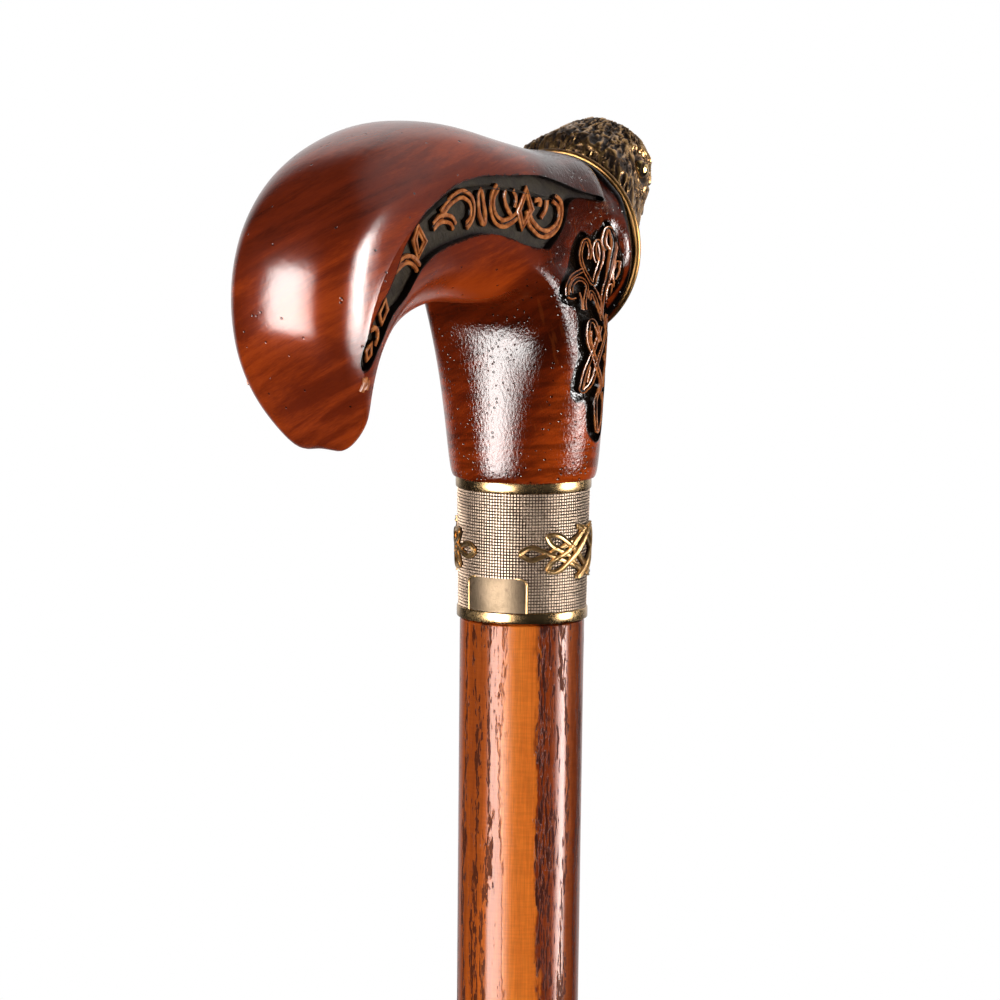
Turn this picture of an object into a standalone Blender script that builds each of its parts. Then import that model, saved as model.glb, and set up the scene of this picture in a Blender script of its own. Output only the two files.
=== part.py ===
"""Carved raven-head cane: hooked hardwood grip, cast raven head, collar, tapered ash shaft and rubber tip.

The cane stands on its tip. The origin is the centre of the tread, +Z runs up the shaft,
+X is the way the raven looks and +Y is its left. Lengths are in metres.
"""

import math

import bmesh
import bpy
from mathutils import Vector

MM = 0.001

# Driving dimensions of the shaft and its foot
COLLAR_TOP = 850.0 * MM
SHAFT_TOP_RADIUS = 11.0 * MM
SHAFT_FOOT_RADIUS = 9.0 * MM
TENON_SHOULDER = 1.5 * MM
TREAD_THICKNESS = 9.0 * MM
TIP_BASE_RADIUS = 18.0 * MM
TIP_HEIGHT = 46.0 * MM
TIP_WALL = 2.8 * MM
WASHER_THICKNESS = 1.6 * MM
WASHER_HOLE_RADIUS = 3.0 * MM

# Driving dimensions of the collar
COLLAR_HEIGHT = 24.6 * MM
COLLAR_TOP_PROUD = 1.0 * MM
COLLAR_FOOT_PROUD = 0.55 * MM
COLLAR_RIM = 1.6 * MM
COLLAR_BAND_DEPTH = 0.4 * MM

# Driving dimensions of the grip, its neck and the round seat of the head
GRIP_RISE = 64.3 * MM
TAIL_REACH = 86.2 * MM
GRIP_HALF_WIDTH = 13.6 * MM
NECK_PROUD = 1.1 * MM
SEAT_RADIUS = 16.5 * MM
SEAT_HEIGHT = 40.0 * MM
SEAT_REACH = 9.6 * MM

# Driving dimensions of the ring and the raven head
RING_PROUD = 0.4 * MM
RING_THICKNESS = 1.0 * MM
RING_LAP = 2.8 * MM
HEAD_SET_IN = 0.6 * MM
HEAD_LENGTH = 35.0 * MM
HEAD_RISE = 22.8 * MM
SKULL_HALF_WIDTH = 10.8 * MM
EYE_RADIUS = 1.7 * MM
EYE_FORWARD = 0.44
EYE_UP = 0.62
EYE_OUT = 0.99
GAPE_LENGTH = 17.0 * MM
GAPE_DEPTH = 1.6 * MM
GAPE_WIDTH = 0.5 * MM
GAPE_FORWARD = 0.78
GAPE_UP = 0.36
GAPE_OUT = 0.34
GAPE_FALL = 11.0
GAPE_TOE_IN = 17.0

# Driving dimensions of the hidden fastenings
JOINT_STUD_RADIUS = 5.0 * MM
JOINT_STUD_LENGTH = 62.0 * MM
INSERT_WALL = 2.0 * MM
INSERT_LENGTH = 22.0 * MM
HEAD_STUD_RADIUS = 3.0 * MM
HEAD_STUD_LENGTH = 32.0 * MM
HEAD_STUD_IN_HEAD = 11.0 * MM
HEAD_STUD_OFFSET = 4.0 * MM
HEAD_PIN_RADIUS = 1.5 * MM
HEAD_PIN_LENGTH = 11.0 * MM
HEAD_PIN_OFFSET = 9.0 * MM

# Clearances: every pair of touching pieces keeps the same small gap
FIT_GAP = 0.3 * MM
EDGE_BREAK = 0.3 * MM
PAST = 5.0 * MM
MERGE = 0.0001
TURNED_STEPS = 24
ROUND_SIDES = 16
SEAT_STEPS = 36

# Sizes and places that follow from the sizes above
TENON_RADIUS = SHAFT_TOP_RADIUS - TENON_SHOULDER
COLLAR_TOP_RADIUS = SHAFT_TOP_RADIUS + COLLAR_TOP_PROUD
COLLAR_FOOT_RADIUS = SHAFT_TOP_RADIUS + COLLAR_FOOT_PROUD
NECK_FOOT_RADIUS = COLLAR_TOP_RADIUS + NECK_PROUD
RING_RADIUS = SEAT_RADIUS + RING_PROUD
HEAD_BASE_RADIUS = SEAT_RADIUS - HEAD_SET_IN
COLLAR_FOOT = COLLAR_TOP - COLLAR_HEIGHT
SHOULDER_Z = COLLAR_FOOT - FIT_GAP
HANDLE_FOOT = COLLAR_TOP + FIT_GAP
TENON_TOP = COLLAR_TOP - FIT_GAP
SHAFT_FOOT = TREAD_THICKNESS + WASHER_THICKNESS + 2 * FIT_GAP
RING_BACK_X = SEAT_REACH + FIT_GAP
HEAD_BACK_X = RING_BACK_X + RING_THICKNESS + FIT_GAP
SEAT_Z = HANDLE_FOOT + SEAT_HEIGHT
INSERT_FOOT = HANDLE_FOOT + FIT_GAP
INSERT_TOP = INSERT_FOOT + INSERT_LENGTH
INSERT_BORE = JOINT_STUD_RADIUS + FIT_GAP
INSERT_RADIUS = INSERT_BORE + INSERT_WALL
JOINT_STUD_FOOT = INSERT_TOP - JOINT_STUD_LENGTH
HEAD_STUD_FRONT = HEAD_BACK_X + HEAD_STUD_IN_HEAD
HEAD_STUD_REAR = HEAD_STUD_FRONT - HEAD_STUD_LENGTH
HEAD_PIN_FRONT = (HEAD_BACK_X + SEAT_REACH + HEAD_PIN_LENGTH) / 2
HEAD_PIN_REAR = HEAD_PIN_FRONT - HEAD_PIN_LENGTH
HEAD_STUD_Z = SEAT_Z + HEAD_STUD_OFFSET
HEAD_PIN_Z = SEAT_Z - HEAD_PIN_OFFSET

PARTS = "carved_raven_head_cane"
CUTTERS = "cutters"


def clear_scene():
    """Removes whatever the scene holds."""
    for obj in list(bpy.data.objects):
        bpy.data.objects.remove(obj, do_unlink=True)


def collection(name):
    """The collection of this name, linked into the scene."""
    found = bpy.data.collections.get(name)
    if found is None:
        found = bpy.data.collections.new(name)
        bpy.context.scene.collection.children.link(found)
    return found


def material(name, colour, roughness, metallic):
    """A plain Principled material."""
    mat = bpy.data.materials.new(name)
    mat.use_nodes = True
    shader = mat.node_tree.nodes["Principled BSDF"]
    shader.inputs["Base Color"].default_value = (*colour, 1.0)
    shader.inputs["Roughness"].default_value = roughness
    shader.inputs["Metallic"].default_value = metallic
    return mat


def add_object(name, mesh, mat=None):
    """Puts a mesh in the parts collection, or among the cutters when it has no material."""
    obj = bpy.data.objects.new(name, mesh)
    if mat is None:
        collection(CUTTERS).objects.link(obj)
        obj.hide_render = True
        obj.display_type = "WIRE"
    else:
        collection(PARTS).objects.link(obj)
        mesh.materials.append(mat)
    return obj


def turned(name, profile, mat=None, steps=TURNED_STEPS, closed=False):
    """A solid of revolution about local Z; the profile (radius, z) runs down its outer side."""
    mesh = bpy.data.meshes.new(name)
    points = [(radius, 0.0, z) for radius, z in profile]
    edges = [(i, i + 1) for i in range(len(points) - 1)]
    if closed:
        edges.append((len(points) - 1, 0))
    mesh.from_pydata(points, edges, [])
    obj = add_object(name, mesh, mat)
    screw = obj.modifiers.new("turn", "SCREW")
    screw.angle = 2 * math.pi
    screw.steps = steps
    screw.render_steps = steps
    screw.use_merge_vertices = True
    screw.merge_threshold = MERGE / 10
    screw.use_smooth_shade = True
    return obj


def bar(name, radius, low, high, mat=None, chamfer=0.0):
    """A round bar about local Z from low to high, with broken edges."""
    if chamfer:
        profile = [
            (0.0, high),
            (radius - chamfer, high),
            (radius, high - chamfer),
            (radius, low + chamfer),
            (radius - chamfer, low),
            (0.0, low),
        ]
    else:
        profile = [(0.0, high), (radius, high), (radius, low), (0.0, low)]
    return turned(name, profile, mat, ROUND_SIDES)


def along_x(obj, z):
    """Lays an object's local Z along +X at a height, so that its local heights become X."""
    obj.rotation_euler = (0.0, math.pi / 2, 0.0)
    obj.location = (0.0, 0.0, z)
    return obj


def cut(target, cutter, operation="DIFFERENCE"):
    """Cuts, or with UNION joins, one object with another."""
    boolean = target.modifiers.new(cutter.name, "BOOLEAN")
    boolean.operation = operation
    boolean.solver = "EXACT"
    boolean.object = cutter


def arc(centre_r, centre_z, radius, start, end, count):
    """Points (radius, z) on an arc, angles in degrees from the outward direction."""
    points = []
    for i in range(count + 1):
        angle = math.radians(start + (end - start) * i / count)
        points.append((centre_r + radius * math.cos(angle), centre_z + radius * math.sin(angle)))
    return points


def shaft_radius(z):
    """Radius of the tapered shaft at a height."""
    share = (z - SHAFT_FOOT) / (SHOULDER_Z - SHAFT_FOOT)
    return SHAFT_FOOT_RADIUS + (SHAFT_TOP_RADIUS - SHAFT_FOOT_RADIUS) * share


def make_shaft(mat):
    """Tapered shaft with a shoulder and a tenon that fills the collar."""
    profile = [
        (0.0, TENON_TOP),
        (TENON_RADIUS - 2 * EDGE_BREAK, TENON_TOP),
        (TENON_RADIUS, TENON_TOP - 2 * EDGE_BREAK),
        (TENON_RADIUS, SHOULDER_Z),
        (SHAFT_TOP_RADIUS - EDGE_BREAK, SHOULDER_Z),
        (SHAFT_TOP_RADIUS, SHOULDER_Z - EDGE_BREAK),
        (SHAFT_FOOT_RADIUS, SHAFT_FOOT + 4 * EDGE_BREAK),
        (SHAFT_FOOT_RADIUS - 4 * EDGE_BREAK, SHAFT_FOOT),
        (0.0, SHAFT_FOOT),
    ]
    shaft = turned("shaft", profile, mat)
    low = JOINT_STUD_FOOT - FIT_GAP
    bore = bar("shaft_stud_hole", JOINT_STUD_RADIUS + FIT_GAP, low, TENON_TOP + PAST)
    cut(shaft, bore)
    return shaft


def make_collar(mat):
    """Cast sleeve: plain rims above and below a slightly sunk band, tapered like the shaft."""

    def outer(z):
        share = (z - COLLAR_FOOT) / COLLAR_HEIGHT
        return COLLAR_FOOT_RADIUS + (COLLAR_TOP_RADIUS - COLLAR_FOOT_RADIUS) * share

    bore = TENON_RADIUS + FIT_GAP
    rim_top = COLLAR_TOP - COLLAR_RIM
    rim_foot = COLLAR_FOOT + COLLAR_RIM
    profile = [
        (bore, COLLAR_TOP),
        (outer(COLLAR_TOP) - EDGE_BREAK, COLLAR_TOP),
        (outer(COLLAR_TOP), COLLAR_TOP - EDGE_BREAK),
        (outer(rim_top), rim_top + EDGE_BREAK),
        (outer(rim_top) - COLLAR_BAND_DEPTH, rim_top),
        (outer(rim_foot) - COLLAR_BAND_DEPTH, rim_foot),
        (outer(rim_foot), rim_foot - EDGE_BREAK),
        (outer(COLLAR_FOOT), COLLAR_FOOT + EDGE_BREAK),
        (outer(COLLAR_FOOT) - EDGE_BREAK, COLLAR_FOOT),
        (bore, COLLAR_FOOT),
    ]
    return turned("collar", profile, mat, closed=True)


def make_tip(mat):
    """Rubber tip: flared tread, tapered cup and three grip ribs."""
    mouth = shaft_radius(TIP_HEIGHT) + FIT_GAP
    floor = SHAFT_FOOT_RADIUS + FIT_GAP
    neck = mouth + TIP_WALL
    rib = 0.9 * MM
    profile = [(mouth, TIP_HEIGHT), (neck - rib, TIP_HEIGHT), (neck, TIP_HEIGHT - rib)]
    rib_pitch = 4.4 * MM
    for i in range(3):
        z = TIP_HEIGHT - 3.0 * MM - i * rib_pitch
        profile += arc(neck, z - rib_pitch / 2, rib, 90, -90, 3)
    flare_z = TREAD_THICKNESS + 14.0 * MM
    profile += [(neck, flare_z)]
    reach = TIP_BASE_RADIUS - neck
    for i in range(1, 5):
        share = i / 5
        drop = (flare_z - 0.45 * TREAD_THICKNESS) * (1 - (1 - share) ** 1.6)
        profile.append((neck + reach * share**1.7, flare_z - drop))
    profile += arc(TIP_BASE_RADIUS - 1.2 * MM, 1.6 * MM, 1.2 * MM, 60, 0, 2)
    groove = 1.0 * MM
    profile += [(TIP_BASE_RADIUS - 0.6 * MM, 0.0)]
    for radius in (13.0 * MM, 8.5 * MM):
        profile += [
            (radius + groove, 0.0),
            (radius + 0.7 * groove, groove),
            (radius - 0.7 * groove, groove),
            (radius - groove, 0.0),
        ]
    profile += [(0.0, 0.0)]
    profile += [(0.0, TREAD_THICKNESS), (floor, TREAD_THICKNESS)]
    return turned("rubber_tip", profile, mat, closed=True)


def make_washer(mat):
    """Steel washer under the foot of the shaft, which keeps it from punching through the rubber."""
    low = TREAD_THICKNESS + FIT_GAP
    high = low + WASHER_THICKNESS
    radius = SHAFT_FOOT_RADIUS - FIT_GAP
    profile = [(WASHER_HOLE_RADIUS, high), (radius, high), (radius, low), (WASHER_HOLE_RADIUS, low)]
    return turned("tip_washer", profile, mat, closed=True)


class Section:
    """One cross-section of the grip: the crest and belly points in the X-Z plane and the half width.

    Places are shares of the grip's rise and tail reach, measured from the top of the collar.
    """

    def __init__(self, crest, belly, width, ridge, recess=0.0, side=0.76):
        self.crest = Vector((crest[0] * TAIL_REACH, 0.0, crest[1] * GRIP_RISE))
        self.belly = Vector((belly[0] * TAIL_REACH, 0.0, belly[1] * GRIP_RISE))
        self.width = width * GRIP_HALF_WIDTH
        self.ridge = ridge
        self.recess = recess
        self.side = side

    def points(self):
        """Half of the section on the right flank, from the crest down to the belly."""
        ridge, width = self.ridge, self.width
        step = self.recess
        outline = (
            (0.0, 1.0),
            (0.73 * width, ridge + 0.78 * (1 - ridge)),
            (width, ridge),
            (width - step, ridge - 0.05),
            (0.93 * width - 0.5 * step, 0.52 * ridge),
            (self.side * width, 0.17),
            (0.42 * width, 0.035),
            (0.0, 0.0),
        )
        axis = self.crest - self.belly
        return [self.belly + axis * up + Vector((0.0, -side, 0.0)) for side, up in outline]


# The grip from just behind the seat of the head, over the top and down to the end of the tail
GRIP_SECTIONS = (
    Section((0.02, 0.885), (0.02, 0.375), 1.05, 0.765, side=1.04),
    Section((-0.088, 0.900), (-0.069, 0.415), 1.03, 0.755, side=1.03),
    Section((-0.206, 0.926), (-0.181, 0.460), 1.01, 0.725, 0.8 * MM, side=0.93),
    Section((-0.343, 0.964), (-0.284, 0.500), 1.00, 0.70, 1.3 * MM),
    Section((-0.500, 1.000), (-0.407, 0.515), 1.00, 0.68, 1.3 * MM),
    Section((-0.655, 0.981), (-0.529, 0.510), 1.00, 0.665, 1.3 * MM),
    Section((-0.810, 0.914), (-0.642, 0.475), 1.00, 0.625, 1.2 * MM),
    Section((-0.930, 0.797), (-0.720, 0.415), 0.97, 0.585, 1.0 * MM),
    Section((-0.989, 0.635), (-0.765, 0.345), 0.91, 0.55, 0.8 * MM),
    Section((-0.986, 0.458), (-0.778, 0.272), 0.83, 0.50, 0.5 * MM),
    Section((-0.913, 0.300), (-0.787, 0.223), 0.71, 0.46, 0.2 * MM),
    Section((-0.850, 0.190), (-0.808, 0.187), 0.50, 0.46),
)
SEAT_ANGLES = (0.0, 27.0, 50.0, 63.0, 92.0, 122.0, 151.0, 180.0)
NECK_OPENING = (0, 3)
RIDGE_ROW = 2
SIDE_ROW = 5


def seat_ring(x, radius):
    """Half ring of the round seat in the plane at x, from the top down the right flank."""
    points = []
    for angle in SEAT_ANGLES:
        turn = math.radians(angle)
        z = SEAT_HEIGHT + radius * math.cos(turn)
        points.append(Vector((x, -radius * math.sin(turn), z)))
    return points


def neck_ring_points(z, front, rear, side):
    """Half ring of the neck at a height, front to rear, with unlike front and rear reach."""
    points = []
    for i in range(8):
        turn = math.pi * i / 7
        reach = front if math.cos(turn) > 0 else rear
        points.append(Vector((reach * math.cos(turn), -side * math.sin(turn), z)))
    return points


def stitch(bm, first, second):
    """Quads between two rows of vertices."""
    for a, b, c, d in zip(first, first[1:], second[1:], second):
        bm.faces.new((a, b, c, d))


def settle_cage(obj, rounds=6):
    """Moves the cage's points so that the rounded surface passes through where they were put."""
    wanted = [v.co.copy() for v in obj.data.vertices]
    for _ in range(rounds):
        bpy.context.view_layer.update()
        shape = obj.evaluated_get(bpy.context.evaluated_depsgraph_get())
        reached = [shape.data.vertices[i].co.copy() for i in range(len(wanted))]
        for vertex, goal, at in zip(obj.data.vertices, wanted, reached):
            vertex.co += 0.9 * (goal - at)
        obj.data.update()


def round_cage(obj):
    """Mirrors a half cage to both flanks and rounds it by subdivision."""
    obj.data.shade_smooth()
    mirror = obj.modifiers.new("flanks", "MIRROR")
    mirror.use_axis = (False, True, False)
    mirror.merge_threshold = MERGE / 10
    rounding = obj.modifiers.new("rounding", "SUBSURF")
    rounding.levels = 2
    rounding.render_levels = 2
    settle_cage(obj)


def make_handle_cage():
    """Half cage of the hooked grip, its neck and its round seat, mirrored and rounded by subdivision."""
    bm = bmesh.new()
    crease = bm.edges.layers.float.new("crease_edge")

    def row(points):
        return [bm.verts.new(p) for p in points]

    seat = [
        row(seat_ring(SEAT_REACH, SEAT_RADIUS - 0.4 * MM)),
        row(seat_ring(SEAT_REACH - 1.3 * MM, SEAT_RADIUS)),
        row(seat_ring(SEAT_REACH - 3.4 * MM, SEAT_RADIUS - 1.5 * MM)),
    ]
    grip = []
    for index, section in enumerate(GRIP_SECTIONS):
        points = section.points()
        if NECK_OPENING[0] <= index < NECK_OPENING[1] - 1:
            points = points[: SIDE_ROW + 1]
        grip.append(row(points))
    for first, second in zip(seat, seat[1:]):
        stitch(bm, second, first)
    rows = [seat[-1], *grip]
    for number, (first, second) in enumerate(zip(rows, rows[1:])):
        shared = SIDE_ROW + 1 if number < NECK_OPENING[1] else len(first)
        stitch(bm, second[:shared], first[:shared])
    bm.faces.new(seat[0])
    bm.faces.new(list(reversed(grip[-1])))

    rim = list(reversed(seat[-1][SIDE_ROW:])) + [grip[0][SIDE_ROW], grip[1][SIDE_ROW]]
    rim += grip[2][SIDE_ROW:]
    foot = NECK_FOOT_RADIUS
    neck = [
        row(neck_ring_points(0.27 * GRIP_RISE, 0.82 * foot, 1.07 * foot, 1.15 * foot)),
        row(neck_ring_points(1.9 * MM, foot, foot, foot)),
        row(neck_ring_points(0.0, foot - 1.2 * MM, foot - 1.2 * MM, foot - 1.2 * MM)),
    ]
    stitch(bm, rim, neck[0])
    for first, second in zip(neck, neck[1:]):
        stitch(bm, first, second)
    bm.faces.new(neck[-1])

    for first, second in zip(grip[1:], grip[2:]):
        edge = bm.edges.get((first[RIDGE_ROW], second[RIDGE_ROW]))
        edge[crease] = 0.9
    for line in (seat[0], neck[-1]):
        for a, b in zip(line, line[1:]):
            bm.edges.get((a, b))[crease] = 1.0

    mesh = bpy.data.meshes.new("handle")
    bm.to_mesh(mesh)
    bm.free()
    return mesh


def make_handle(mat):
    """Hooked wooden grip and neck with the bores for its insert, the head's stud and the pin."""
    handle = add_object("handle", make_handle_cage(), mat)
    handle.location = (0.0, 0.0, HANDLE_FOOT)
    round_cage(handle)
    socket = bar("insert_socket", INSERT_RADIUS + FIT_GAP, HANDLE_FOOT - PAST, INSERT_TOP + FIT_GAP)
    cut(handle, socket)
    stud = HEAD_STUD_RADIUS + FIT_GAP
    stud_hole = bar("seat_stud_hole", stud, HEAD_STUD_REAR - FIT_GAP, SEAT_REACH + PAST)
    cut(handle, along_x(stud_hole, HEAD_STUD_Z))
    pin = HEAD_PIN_RADIUS + FIT_GAP
    pin_hole = bar("seat_pin_hole", pin, HEAD_PIN_REAR - FIT_GAP, SEAT_REACH + PAST)
    cut(handle, along_x(pin_hole, HEAD_PIN_Z))
    return handle


def make_insert(mat):
    """Threaded brass insert pressed into the foot of the handle, with three holding ribs."""
    rib = 0.5 * MM
    body = INSERT_RADIUS - rib
    pitch = INSERT_LENGTH / 4
    profile = [(INSERT_BORE, INSERT_TOP), (body, INSERT_TOP)]
    for i in range(3):
        z = INSERT_TOP - (i + 1) * pitch
        profile += [(body, z + 2 * rib), (INSERT_RADIUS, z), (body, z)]
    profile += [(body, INSERT_FOOT), (INSERT_BORE, INSERT_FOOT)]
    return turned("handle_insert", profile, mat, ROUND_SIDES, closed=True)


def make_neck_ring(mat):
    """Brass ring between the wooden seat and the cast head, standing a little proud of both."""
    half = RING_THICKNESS / 2
    edge = arc(RING_RADIUS - half, RING_BACK_X + half, half, 90, -90, 4)
    inner = HEAD_BASE_RADIUS - RING_LAP
    profile = [(inner, RING_BACK_X + RING_THICKNESS), *edge, (inner, RING_BACK_X)]
    ring = turned("neck_ring", profile, mat, SEAT_STEPS, closed=True)
    return along_x(ring, SEAT_Z)


class HeadSection:
    """One cross-section of the raven head: crown and throat points and the half width.

    Lengths run forward from the back of the head and heights from the centre of its seat,
    both as shares of the head's length and rise.
    """

    def __init__(self, crown, throat, width, cheek=0.42):
        self.crown = Vector((crown[0] * HEAD_LENGTH, 0.0, crown[1] * HEAD_RISE))
        self.throat = Vector((throat[0] * HEAD_LENGTH, 0.0, throat[1] * HEAD_RISE))
        self.width = width * SKULL_HALF_WIDTH
        self.cheek = cheek

    def points(self):
        """Half of the section on the right side, from the crown down to the throat."""
        outline = (
            (0.0, 1.0),
            (0.68, 0.87),
            (1.0, 0.60),
            (0.93, self.cheek - 0.08),
            (0.58, 0.08),
            (0.0, 0.0),
        )
        axis = self.crown - self.throat
        return [
            self.throat + axis * up + Vector((0.0, -side * self.width, 0.0))
            for side, up in outline
        ]


# The head from its round base over the skull to the hooked tip of the beak
HEAD_SECTIONS = (
    HeadSection((0.09, 0.85), (0.12, -0.57), 1.33),
    HeadSection((0.26, 0.935), (0.31, -0.25), 1.11),
    HeadSection((0.44, 0.985), (0.46, 0.02), 0.99),
    HeadSection((0.60, 0.86), (0.57, 0.13), 0.80),
    HeadSection((0.68, 0.72), (0.64, 0.175), 0.48),
    HeadSection((0.86, 0.595), (0.80, 0.20), 0.27),
    HeadSection((1.0, 0.29), (0.955, 0.16), 0.07),
)
HEAD_ANGLES = (0.0, 36.0, 72.0, 108.0, 144.0, 180.0)


def make_head(mat):
    """Cast raven head: skull, brow and hooked beak from a rounded half cage, with eyes and gape."""
    bm = bmesh.new()
    crease = bm.edges.layers.float.new("crease_edge")

    def row(points):
        return [bm.verts.new(p) for p in points]

    def base_ring(x, radius):
        turns = [math.radians(a) for a in HEAD_ANGLES]
        return [Vector((x, -radius * math.sin(a), radius * math.cos(a))) for a in turns]

    rows = [row(base_ring(0.0, HEAD_BASE_RADIUS)), row(base_ring(0.8 * MM, HEAD_BASE_RADIUS))]
    rows += [row(section.points()) for section in HEAD_SECTIONS]
    for first, second in zip(rows, rows[1:]):
        stitch(bm, first, second)
    bm.faces.new(list(reversed(rows[0])))
    bm.faces.new(rows[-1])
    for a, b in zip(rows[0], rows[0][1:]):
        bm.edges.get((a, b))[crease] = 1.0
    mesh = bpy.data.meshes.new("raven_head")
    bm.to_mesh(mesh)
    bm.free()
    head = add_object("raven_head", mesh, mat)
    head.location = (HEAD_BACK_X, 0.0, SEAT_Z)
    round_cage(head)
    carve_eyes_and_gape(head)
    stud = HEAD_STUD_RADIUS + FIT_GAP
    stud_hole = bar("head_stud_hole", stud, HEAD_BACK_X - PAST, HEAD_STUD_FRONT + FIT_GAP)
    cut(head, along_x(stud_hole, HEAD_STUD_Z))
    pin = HEAD_PIN_RADIUS + FIT_GAP
    pin_hole = bar("head_pin_hole", pin, HEAD_BACK_X - PAST, HEAD_PIN_FRONT + FIT_GAP)
    cut(head, along_x(pin_hole, HEAD_PIN_Z))
    return head


def ball(name, radius, place, stretch=(1.0, 1.0, 1.0)):
    """A ball for cutting or joining, stretched along the axes."""
    mesh = bpy.data.meshes.new(name)
    bm = bmesh.new()
    bmesh.ops.create_uvsphere(bm, u_segments=12, v_segments=8, radius=radius)
    bmesh.ops.scale(bm, vec=stretch, verts=bm.verts)
    bm.to_mesh(mesh)
    bm.free()
    obj = add_object(name, mesh)
    obj.location = place
    return obj


def carve_eyes_and_gape(head):
    """Sinks a socket with a bead in it on each side, and a groove between the mandibles."""
    x = HEAD_BACK_X + EYE_FORWARD * HEAD_LENGTH
    z = SEAT_Z + EYE_UP * HEAD_RISE
    for name, side in (("right", -1.0), ("left", 1.0)):
        y = side * EYE_OUT * SKULL_HALF_WIDTH
        socket = ball(f"{name}_socket", 1.5 * EYE_RADIUS, (x, y, z), (1.15, 0.62, 0.95))
        cut(head, socket)
        bead = ball(f"{name}_bead", EYE_RADIUS, (x, y - side * 0.55 * EYE_RADIUS, z))
        cut(head, bead, "UNION")
        blade = bpy.data.meshes.new(f"{name}_gape")
        bm = bmesh.new()
        bmesh.ops.create_cube(bm, size=1.0)
        bmesh.ops.scale(bm, vec=(GAPE_LENGTH, GAPE_DEPTH, GAPE_WIDTH), verts=bm.verts)
        bm.to_mesh(blade)
        bm.free()
        cutter = add_object(f"{name}_gape", blade)
        reach = HEAD_BACK_X + GAPE_FORWARD * HEAD_LENGTH
        cutter.location = (reach, side * GAPE_OUT * SKULL_HALF_WIDTH, SEAT_Z + GAPE_UP * HEAD_RISE)
        cutter.rotation_euler = (0.0, math.radians(GAPE_FALL), -side * math.radians(GAPE_TOE_IN))
        cut(head, cutter)


def make_fastenings(steel):
    """Stud between shaft and handle, and the head's stud and locating pin."""
    bar("joint_stud", JOINT_STUD_RADIUS, JOINT_STUD_FOOT, INSERT_TOP, steel, 2 * EDGE_BREAK)
    stud = bar("head_stud", HEAD_STUD_RADIUS, HEAD_STUD_REAR, HEAD_STUD_FRONT, steel, EDGE_BREAK)
    along_x(stud, HEAD_STUD_Z)
    pin = bar("head_pin", HEAD_PIN_RADIUS, HEAD_PIN_REAR, HEAD_PIN_FRONT, steel, EDGE_BREAK)
    along_x(pin, HEAD_PIN_Z)


def main():
    """Builds the cane."""
    clear_scene()
    wood = material("stained_hardwood", (0.30, 0.06, 0.015), 0.18, 0.0)
    ash = material("stained_ash", (0.33, 0.10, 0.03), 0.3, 0.0)
    bronze = material("antique_bronze", (0.42, 0.32, 0.18), 0.35, 1.0)
    brass = material("brass", (0.78, 0.57, 0.26), 0.22, 1.0)
    rubber = material("black_rubber", (0.02, 0.02, 0.02), 0.8, 0.0)
    steel = material("zinc_plated_steel", (0.6, 0.6, 0.6), 0.35, 1.0)
    make_handle(wood)
    make_shaft(ash)
    make_collar(bronze)
    make_tip(rubber)
    make_washer(steel)
    make_insert(brass)
    make_neck_ring(brass)
    make_head(bronze)
    make_fastenings(steel)


main()
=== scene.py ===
"""Looks of the carved raven-head cane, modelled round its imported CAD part.

Lengths are in metres in the part's own frame: the origin is the centre of the tread, +Z runs
up the shaft, +X is the way the raven looks and +Y is its left. The script ends with one
camera, a pale floor and plain studio light.
"""

import logging
import math
from dataclasses import dataclass, field, replace
from enum import Enum
from typing import Callable, Sequence

import bmesh
import bpy
import numpy as np
from mathutils import Matrix, Vector, noise
from mathutils.bvhtree import BVHTree

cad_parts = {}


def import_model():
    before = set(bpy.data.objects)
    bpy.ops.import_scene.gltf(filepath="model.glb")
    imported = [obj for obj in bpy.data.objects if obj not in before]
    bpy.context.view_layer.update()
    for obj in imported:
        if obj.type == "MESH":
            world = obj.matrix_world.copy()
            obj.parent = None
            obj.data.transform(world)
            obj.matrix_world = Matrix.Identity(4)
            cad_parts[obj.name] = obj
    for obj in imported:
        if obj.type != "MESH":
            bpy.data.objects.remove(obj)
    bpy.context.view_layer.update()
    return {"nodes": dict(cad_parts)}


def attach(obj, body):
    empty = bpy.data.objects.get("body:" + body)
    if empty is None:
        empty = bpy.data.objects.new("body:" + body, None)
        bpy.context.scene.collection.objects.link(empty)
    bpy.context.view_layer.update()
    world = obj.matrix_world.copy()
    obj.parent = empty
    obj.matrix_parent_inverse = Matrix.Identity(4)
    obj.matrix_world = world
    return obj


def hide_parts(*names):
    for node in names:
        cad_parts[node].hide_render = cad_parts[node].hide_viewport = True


LOG = logging.getLogger("cane")
MM = 0.001
ROOT = "root"
MERGE = 0.000001
FULL_TURN = 2 * math.pi
RELIEF = "relief"
Pair = tuple[float, float]


# ---------------------------------------------------------------- the bench


def deselect_all() -> None:
    """Leaves object mode with nothing selected."""
    if bpy.context.object is not None and bpy.context.object.mode != "OBJECT":
        bpy.ops.object.mode_set(mode="OBJECT")
    bpy.ops.object.select_all(action="DESELECT")


def take(obj: bpy.types.Object) -> bpy.types.Object:
    """Selects one object alone and makes it the active one."""
    deselect_all()
    obj.select_set(True)
    bpy.context.view_layer.objects.active = obj
    return obj


def named(name: str) -> bpy.types.Object:
    """Names the object that an operator has just added."""
    obj = bpy.context.object
    obj.name = name
    obj.data.name = name
    return obj


class Pick(Enum):
    """What an edit picks."""

    VERTS = "VERT"
    EDGES = "EDGE"
    FACES = "FACE"


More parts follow.
